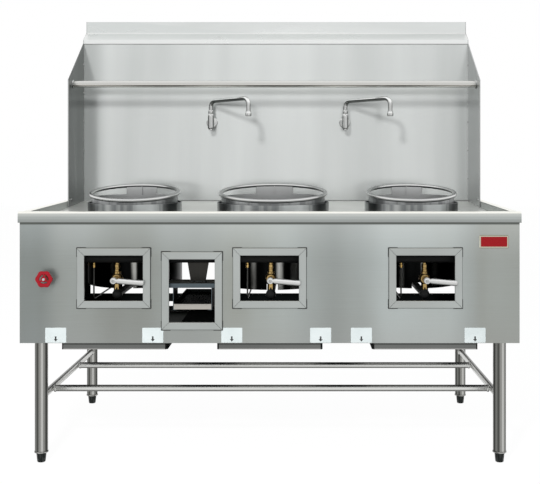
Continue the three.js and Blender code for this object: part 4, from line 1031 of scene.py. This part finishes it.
# %% Pipe frame
LEG_X = 0.86
LEG_YS = (0.09 + FACE, 0.94 + FACE)
BAR_YS = {"cross_bar_front": 0.23 + FACE, "cross_bar_rear": 0.64 + FACE}
RAIL_Z = 0.242
LEG_RADIUS = 0.02415
RAIL_RADIUS = 0.0127
COLLAR_RADIUS = 0.0145


def leg_frame(side, sign):
    low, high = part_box("leg_frame_" + side)
    x = sign * LEG_X
    form = Form(leg_steel, bar_steel)
    for y in LEG_YS:
        form.rod(LEG_RADIUS, (x, y, low.z), (x, y, high.z), sides=48)
    form.rod(RAIL_RADIUS, (x, LEG_YS[0], RAIL_Z), (x, LEG_YS[1], RAIL_Z), finish=1)
    for y, way in zip(LEG_YS, (1, -1)):
        form.rod(COLLAR_RADIUS, (x, y, RAIL_Z), (x, y + way * (LEG_RADIUS + 0.007), RAIL_Z), soft=0.002, finish=1)
    stand_in("leg_frame_" + side, form)


def cross_bar(node, y):
    form = Form(bar_steel)
    end = LEG_X - RAIL_RADIUS + 0.002
    form.rod(RAIL_RADIUS, (-end, y, RAIL_Z), (end, y, RAIL_Z))
    for sign in (-1, 1):
        form.rod(COLLAR_RADIUS, (sign * end, y, RAIL_Z), (sign * (end - 0.009), y, RAIL_Z), soft=0.002)
    stand_in(node, form)


def foot(node):
    middle = middle_of(node)
    on_floor = (middle.x, middle.y, 0)
    form = Form(foot_steel, flange_steel)
    form.turned([(11.5, 0), (14, 0.8), (15.5, 3), (18.2, 30), (18.5, 34), (18.5, 36.2)],
                on_floor)
    form.turned([(24, 36), (26, 37.2), (26, 40.8), (25, 42)], on_floor, sides=40, finish=1)
    form.turned([(8, 41), (8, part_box(node)[1].z / MM)], on_floor, sides=20)
    stand_in(node, form)


for side, sign in ENDS:
    leg_frame(side, sign)
    foot("foot_front_" + side)
    foot("foot_rear_" + side)
for node, y in BAR_YS.items():
    cross_bar(node, y)
print("pipe frame: 4 legs, 2 rails, 2 cross bars, 4 feet")

# %% [markdown]
# ## Pipe rack
# A polished tube across the splash carries ladles and lids. It ends in pressed cups on the side
# panels.

# %% Pipe rack
rack_low, rack_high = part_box("pipe_rack")
_, rack_y, rack_z = middle_of("pipe_rack")
rack = Form(rack_steel, plated_steel)
rack.rod(0.015, (rack_low.x + 0.001, rack_y, rack_z), (rack_high.x - 0.001, rack_y, rack_z), sides=40)
for sign, edge in ((1, rack_low.x), (-1, rack_high.x)):
    rack.turned([(19, 0), (19, 2), (17.8, 3.4), (15.6, 4)], (edge, rack_y, rack_z),
                axis=(sign, 0, 0), sides=40, finish=1)
stand_in("pipe_rack", rack)
print("rack at height", round(rack_z, 3))

# %% [markdown]
# ## Geometry Nodes helpers
# What repeats, or follows a rule, is grown by Geometry Nodes. A tree gets named inputs; a modifier
# sets them by their identifiers before it is first evaluated; the result becomes a plain mesh, and
# the modifier is gone with its carrier before the piece is finished.

# %% Geometry Nodes helpers
def geo(tree, kind, **values):
    return add_node(tree, "GeometryNode" + kind, **values).outputs[0]


def place_of(tree, x=0.0, y=0.0, z=0.0):
    return add_node(tree, "ShaderNodeCombineXYZ", x, y, z).outputs[0]


def realized(tree, get, parts):
    """Joins the parts, realizes them and gives them the tree's material."""
    join = tree.nodes.new("GeometryNodeJoinGeometry")
    for part in parts:
        tree.links.new(part, join.inputs[0])
    real = geo(tree, "RealizeInstances", Geometry=join.outputs[0])
    return geo(tree, "SetMaterial", Geometry=real, Material=get["Material"])


def copies_tree(name, build, **inputs):
    """A tree that puts copies of one shape, turned alike, on the points that build gives."""
    tree, get = new_group(name, "Geometry", Material="Material", **inputs)
    points, shape, turn = build(tree, get)
    copies = geo(tree, "InstanceOnPoints", Points=points, Instance=shape, Rotation=turn)
    return give(tree, "Geometry", Geometry=realized(tree, get, [copies]))


def grown(tree, **values):
    """The mesh that a tree makes with these input values."""
    carrier = bpy.data.objects.new("grown", bpy.data.meshes.new("grown"))
    scene.collection.objects.link(carrier)
    modifier = carrier.modifiers.new("grow", "NODES")
    modifier.node_group = tree
    names = {item.name: item.identifier for item in tree.interface.items_tree if item.in_out == "INPUT"}
    for key, value in values.items():
        modifier[names[key.replace("_", " ")]] = value
    carrier.update_tag()
    graph = bpy.context.evaluated_depsgraph_get()
    data = bpy.data.meshes.new_from_object(carrier.evaluated_get(graph))
    bpy.data.objects.remove(carrier)
    return data


def merged(meshes):
    """Several meshes as one, with the first one's material."""
    form = bmesh.new()
    for data in meshes:
        form.from_mesh(data)
    form.to_mesh(meshes[0])
    form.free()
    return meshes[0]


def moved(data, matrix):
    data.transform(matrix)
    return data


print("geometry nodes helpers ready")

# %% [markdown]
# ## Wok rings
# A wok ring follows a rule, so a tree draws it: a low band, a bar bent to a circle that is tilted up
# to the back, and an upright plate with a rib that carries the bar there. The rise, the tube and the
# band are inputs, and the three rings differ only in their radius.

# %% Wok rings
CHAMBER_RADIUS = {"left": 0.192, "middle": 0.2305, "right": 0.192}
BAR_INSET = 0.014
BAND_INSET = 0.019
RIB_INSET = 0.006


def build_ring_tree():
    tree, get = new_group(
        "wok_ring_rule", "Geometry", Bar_Circle=0.2, Band_Circle=0.2, Tube=0.008, Rise=0.043, Band_Wall=0.004,
        Band_Foot=0.0143, Band_Top=0.06, Bar_Drop=0.006, Plate_Span=math.radians(44), Material="Material",
        Band_Material="Material")
    node, value, place = (partial(make, tree) for make in (geo, value_of, place_of))

    def sweep(curve, section, height=None, **settings):
        """Draws a curve out with a round section, or with a flat one of some height."""
        profile = (node("CurvePrimitiveCircle", Resolution=16, Radius=section) if height is None else
                   node("CurvePrimitiveQuadrilateral", Width=section, Height=height))
        return node("CurveToMesh", Curve=curve, Profile_Curve=profile, **settings)

    def lifted(shape, turn=0.0, **at):
        return node("Transform", Geometry=shape, Translation=place(**at), Rotation=place(x=turn))

    wall, rise = get["Band Wall"], get["Rise"]
    half_rise = value("MULTIPLY", rise, 0.5)
    middle = value("ADD", value("SUBTRACT", get["Band Top"], get["Bar Drop"]), half_rise)
    tilt = value("ARCSINE", value("DIVIDE", half_rise, get["Bar Circle"]))
    bar = sweep(node("CurvePrimitiveCircle", Resolution=96, Radius=get["Bar Circle"]), get["Tube"])
    band = sweep(node("CurvePrimitiveCircle", Resolution=96, Radius=get["Band Circle"]), wall,
                 value("SUBTRACT", get["Band Top"], get["Band Foot"]))
    centre = value("MULTIPLY", value("ADD", get["Band Top"], get["Band Foot"]), 0.5)
    arc = node("CurveArc", Resolution=24, Radius=get["Band Circle"], Sweep_Angle=get["Plate Span"],
               Start_Angle=value("SUBTRACT", math.pi / 2, value("MULTIPLY", get["Plate Span"], 0.5)))
    upright = sweep(arc, wall, rise, Fill_Caps=True)
    rib = node("MeshCube", Size=place(0.003, 0.008, value("SUBTRACT", rise, RIB_INSET)))
    rib_y = value("SUBTRACT", get["Band Circle"], RIB_INSET)
    flags = {"data_type": "BOOLEAN", "Name": "band"}
    parts = [lifted(bar, tilt, z=middle)]
    for part in (lifted(band, z=centre), lifted(upright, z=middle), lifted(rib, y=rib_y, z=middle)):
        parts.append(node("StoreNamedAttribute", domain="FACE", **flags, Geometry=part, Value=True))
    dressed = node("SetMaterial", Geometry=realized(tree, get, parts), Material=get["Band Material"],
                   Selection=node("InputNamedAttribute", **flags))
    return give(tree, "Geometry", Geometry=dressed)


RING_TREE = build_ring_tree()
for side in SIDES:
    node = "wok_ring_" + side
    ring = grown(RING_TREE, Bar_Circle=CHAMBER_RADIUS[side] - BAR_INSET, Band_Circle=CHAMBER_RADIUS[side] - BAND_INSET,
                 Material=ring_steel, Band_Material=band_steel)
    ring.transform(on_station(side))
    finished(node + "_dressed", ring, node, (node,))

# %% [markdown]
# ## Jets, screws and weld beads
# Jets stand in rings on a burner, and weld beads ring every pipe joint: both are one small shape
# repeated on a circle. Screws repeat along a line. Two trees cover them all.

# %% Trees for circles and lines
def circle_of_cones(tree, get):
    return (geo(tree, "MeshCircle", Vertices=get["Count"], Radius=get["Circle"]),
            geo(tree, "MeshCone", Vertices=12, Radius_Bottom=get["Low Radius"], Radius_Top=get["High Radius"],
                Depth=get["Height"]), (0.0, 0.0, 0.0))


def line_of_heads(tree, get):
    head = geo(tree, "MeshUVSphere", Segments=14, Rings=8, Radius=1.0)
    return (geo(tree, "MeshLine", Count=get["Count"], Start_Location=get["Start"], Offset=get["Pitch"]),
            geo(tree, "Transform", Geometry=head,
                Scale=place_of(tree, get["Head Radius"], get["Head Radius"], get["Head Height"])), get["Turn"])


CIRCLE_TREE = copies_tree("repeat_on_circle", circle_of_cones, Count=8, Circle=0.05, Low_Radius=0.0065,
                          High_Radius=0.004, Height=0.022)
LINE_TREE = copies_tree("repeat_on_line", line_of_heads, Count=8, Start="Vector", Pitch="Vector", Turn="Vector",
                        Head_Radius=0.004, Head_Height=0.0022)
print("trees:", CIRCLE_TREE.name, LINE_TREE.name)

# %% [markdown]
# ### Jets
# One jet in the middle, four round it and eight near the edge, drilled brass tips screwed into the
# casting. Each is a stout foot and a slim tip.

# %% Burner jets
JET_FOOT = -0.2337
JET_RINGS = ((1, 0.0), (4, 0.028), (8, 0.056))
JET_CONES = ((0.0065, 0.0058, 0.012, 0.0), (0.0048, 0.0034, 0.01, 0.012))
for side in SIDES:
    cones = [moved(grown(CIRCLE_TREE, Count=max(count, 3), Circle=circle, Low_Radius=low_radius,
                         High_Radius=high_radius, Height=height, Material=valve_brass),
                   Matrix.Translation((0, 0, JET_FOOT + foot)))
             for count, circle in JET_RINGS for low_radius, high_radius, height, foot in JET_CONES]
    finished("burner_jets_" + side, moved(merged(cones), on_station(side)), "root")
print("jets: 13 on each burner")

# %% [markdown]
# ### Screws and weld beads
# Dome-headed screws hold the side panels to the rims and to the splash, and close the flue casing's
# sides. The beads round the pipe joints are small overlapping drops of weld, a little duller than
# the pipe.

# %% Screws and weld beads
PANEL_FOOT = 0.9615
PANEL_LOW, PANEL_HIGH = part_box("splash_side_right")
CASING_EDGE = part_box("chase_casing")[1]


def screws(name, facing, *rows, radius=0.0042):
    """Rows of (count, start, pitch) of screws that face left, -1, or right, 1."""
    meshes = [grown(LINE_TREE, Count=count, Start=start, Pitch=pitch, Head_Radius=radius, Head_Height=0.0022,
                    Turn=(0, facing * math.pi / 2, 0), Material=plated_steel) for count, start, pitch in rows]
    finished(name, merged(meshes), "root")


for side, sign in ENDS:
    inner = sign * PANEL_LOW.x
    screws("panel_screws_" + side, -sign, (2, (inner, PANEL_LOW.y + 0.022, PANEL_FOOT), (0, 0.024, 0.0012)),
           (5, (inner, PANEL_HIGH.y - 0.012, 1.05), (0, 0, 0.13)))
    screws("casing_screws_" + side, sign, (7, (sign * CASING_EDGE.x, CASING_EDGE.y - 0.016, 1.05), (0, 0, 0.1)),
           radius=0.0055)
print("screws: 14 on the side panels, 14 on the casing's sides at x", round(CASING_EDGE.x, 4))

beads = []
for sign in (-1, 1):
    for y, way in zip(LEG_YS, (1, -1)):
        bead = grown(CIRCLE_TREE, Count=26, Circle=COLLAR_RADIUS - 0.0008, Low_Radius=0.0024, High_Radius=0.001,
                     Height=0.0026, Material=bar_steel)
        beads.append(moved(bead, Matrix.Translation((sign * LEG_X, y + way * (LEG_RADIUS + 0.0004), RAIL_Z))
                           @ Matrix.Rotation(-way * math.pi / 2, 4, "X")))
finished("leg_welds", merged(beads), "root")
print("weld beads:", len(beads))

# %% [markdown]
# ## Strainer plate
# Food scraps stay on a perforated plate in the tray under the chute. One cell with a round hole is
# repeated over a grid.

# %% Strainer plate
CELL = 0.0095
HOLE = 0.003
HOLE_DEPTH = 0.001


def hole_cell():
    """A square cell of plate with an eight-sided hole."""
    cell = bmesh.new()
    half = CELL / 2
    outer = [(1, 0), (1, 1), (0, 1), (-1, 1), (-1, 0), (-1, -1), (0, -1), (1, -1)]
    rim = [cell.verts.new((x * half, y * half, 0)) for x, y in outer]
    hole = [cell.verts.new((HOLE * math.cos(a), HOLE * math.sin(a), 0)) for a in round_steps(8)]
    deep = [cell.verts.new((v.co.x, v.co.y, -HOLE_DEPTH)) for v in hole]
    for i in range(8):
        j = (i + 1) % 8
        cell.faces.new((rim[i], rim[j], hole[j], hole[i]))
        cell.faces.new((hole[i], hole[j], deep[j], deep[i]))
    data = bpy.data.meshes.new("hole_cell")
    cell.to_mesh(data)
    cell.free()
    return bpy.data.objects.new("hole_cell", data)


def grid_of_cells(tree, get):
    source = add_node(tree, "GeometryNodeObjectInfo", Object=get["Cell"])
    return (geo(tree, "MeshGrid", Size_X=get["Width"], Size_Y=get["Length"], Vertices_X=get["Columns"],
                Vertices_Y=get["Rows"]), source.outputs["Geometry"], (0.0, 0.0, 0.0))


tray_low, tray_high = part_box("strainer_tray")
columns = int((tray_high.x - tray_low.x - 0.008) / CELL)
rows = int((tray_high.y - tray_low.y - 0.024) / CELL)
cell_object = hole_cell()
GRID_TREE = copies_tree("perforated_plate", grid_of_cells, Cell="Object", Length=0.3, Width=0.1, Columns=10, Rows=30)
plate = grown(GRID_TREE, Cell=cell_object, Width=(columns - 1) * CELL, Length=(rows - 1) * CELL, Columns=columns,
              Rows=rows, Material=strainer_steel)
bpy.data.objects.remove(cell_object)
tray_middle = middle_of("strainer_tray")
plate.transform(Matrix.Translation((tray_middle.x, tray_middle.y + 0.004, tray_low.z + 0.01)))
finished("strainer_plate", plate, "strainer_tray")
print("strainer plate:", columns, "by", rows, "holes")

# %% [markdown]
# ## Studio
# A plain pale floor and a pale room. The camera and the mirror-like metal see white, while diffuse
# light comes from a calm grey dome and a few soft lamps. The key lamp is small enough to throw the
# faucets' shadows on the splash. The lamps leave no hot spots, because mirror rays don't see them.
# The floor is partly luminous to the camera, which keeps it white but still lets the range cast its
# shadow on it.

# %% Studio
DOME_LEVEL = 0.36
FLOOR_GLOW = 0.93
MIDDLE = (0, 0, 0.9)


def seen_directly(tree):
    """1 for rays from the camera and for mirror and glass rays."""
    path = tree.nodes.new("ShaderNodeLightPath").outputs
    total = path["Is Camera Ray"]
    for label in ("Is Glossy Ray", "Is Transmission Ray"):
        total = value_of(tree, "MAXIMUM", total, path[label])
    return total


def mixed_output(tree, share, below, above, output):
    mix = add_node(tree, "ShaderNodeMixShader", share, below.outputs[0], above.outputs[0])
    put(tree, tree.nodes[output].inputs["Surface"], mix.outputs[0])


def build_floor():
    bpy.ops.mesh.primitive_plane_add(size=40)
    floor = bpy.context.object
    floor.name = "floor"
    material = bpy.data.materials.new("pale_floor")
    material.use_nodes = True
    tree = material.node_tree
    shader = tree.nodes["Principled BSDF"]
    shader.inputs["Base Color"].default_value = colour(0.86, 0.86, 0.86)
    shader.inputs["Roughness"].default_value = 0.9
    glow = add_node(tree, "ShaderNodeEmission", Color=colour(1, 1, 1), Strength=1.04)
    mixed_output(tree, value_of(tree, "MULTIPLY", seen_directly(tree), FLOOR_GLOW), shader, glow, "Material Output")
    floor.data.materials.append(material)


def build_world():
    world = bpy.data.worlds.new("studio")
    scene.world = world
    world.use_nodes = True
    tree = world.node_tree
    dome = tree.nodes["Background"]
    dome.inputs["Color"].default_value = colour(0.97, 0.985, 1.0)
    dome.inputs["Strength"].default_value = DOME_LEVEL
    white = add_node(tree, "ShaderNodeBackground", Color=colour(1, 1, 1), Strength=1.0)
    mixed_output(tree, seen_directly(tree), dome, white, "World Output")


def soft_lamp(name, place, target, size, power):
    data = bpy.data.lights.new(name, "AREA")
    data.shape = "RECTANGLE"
    data.size, data.size_y = size
    data.energy = power
    lamp = bpy.data.objects.new(name, data)
    lamp.location = place
    lamp.rotation_euler = (Vector(target) - Vector(place)).to_track_quat("-Z", "Y").to_euler()
    lamp.visible_glossy = False
    scene.collection.objects.link(lamp)


build_floor()
build_world()
soft_lamp("key", (-0.8, -4.07, 2.92), MIDDLE, (0.4, 0.4), 150)
soft_lamp("fill", (3.0, -3.0, 2.2), MIDDLE, (2.0, 2.0), 12)
soft_lamp("top", (0.0, 0.2, 4.2), (0, 0, 1), (3.0, 1.6), 22)
print("studio ready: dome", DOME_LEVEL, "floor glow", FLOOR_GLOW)
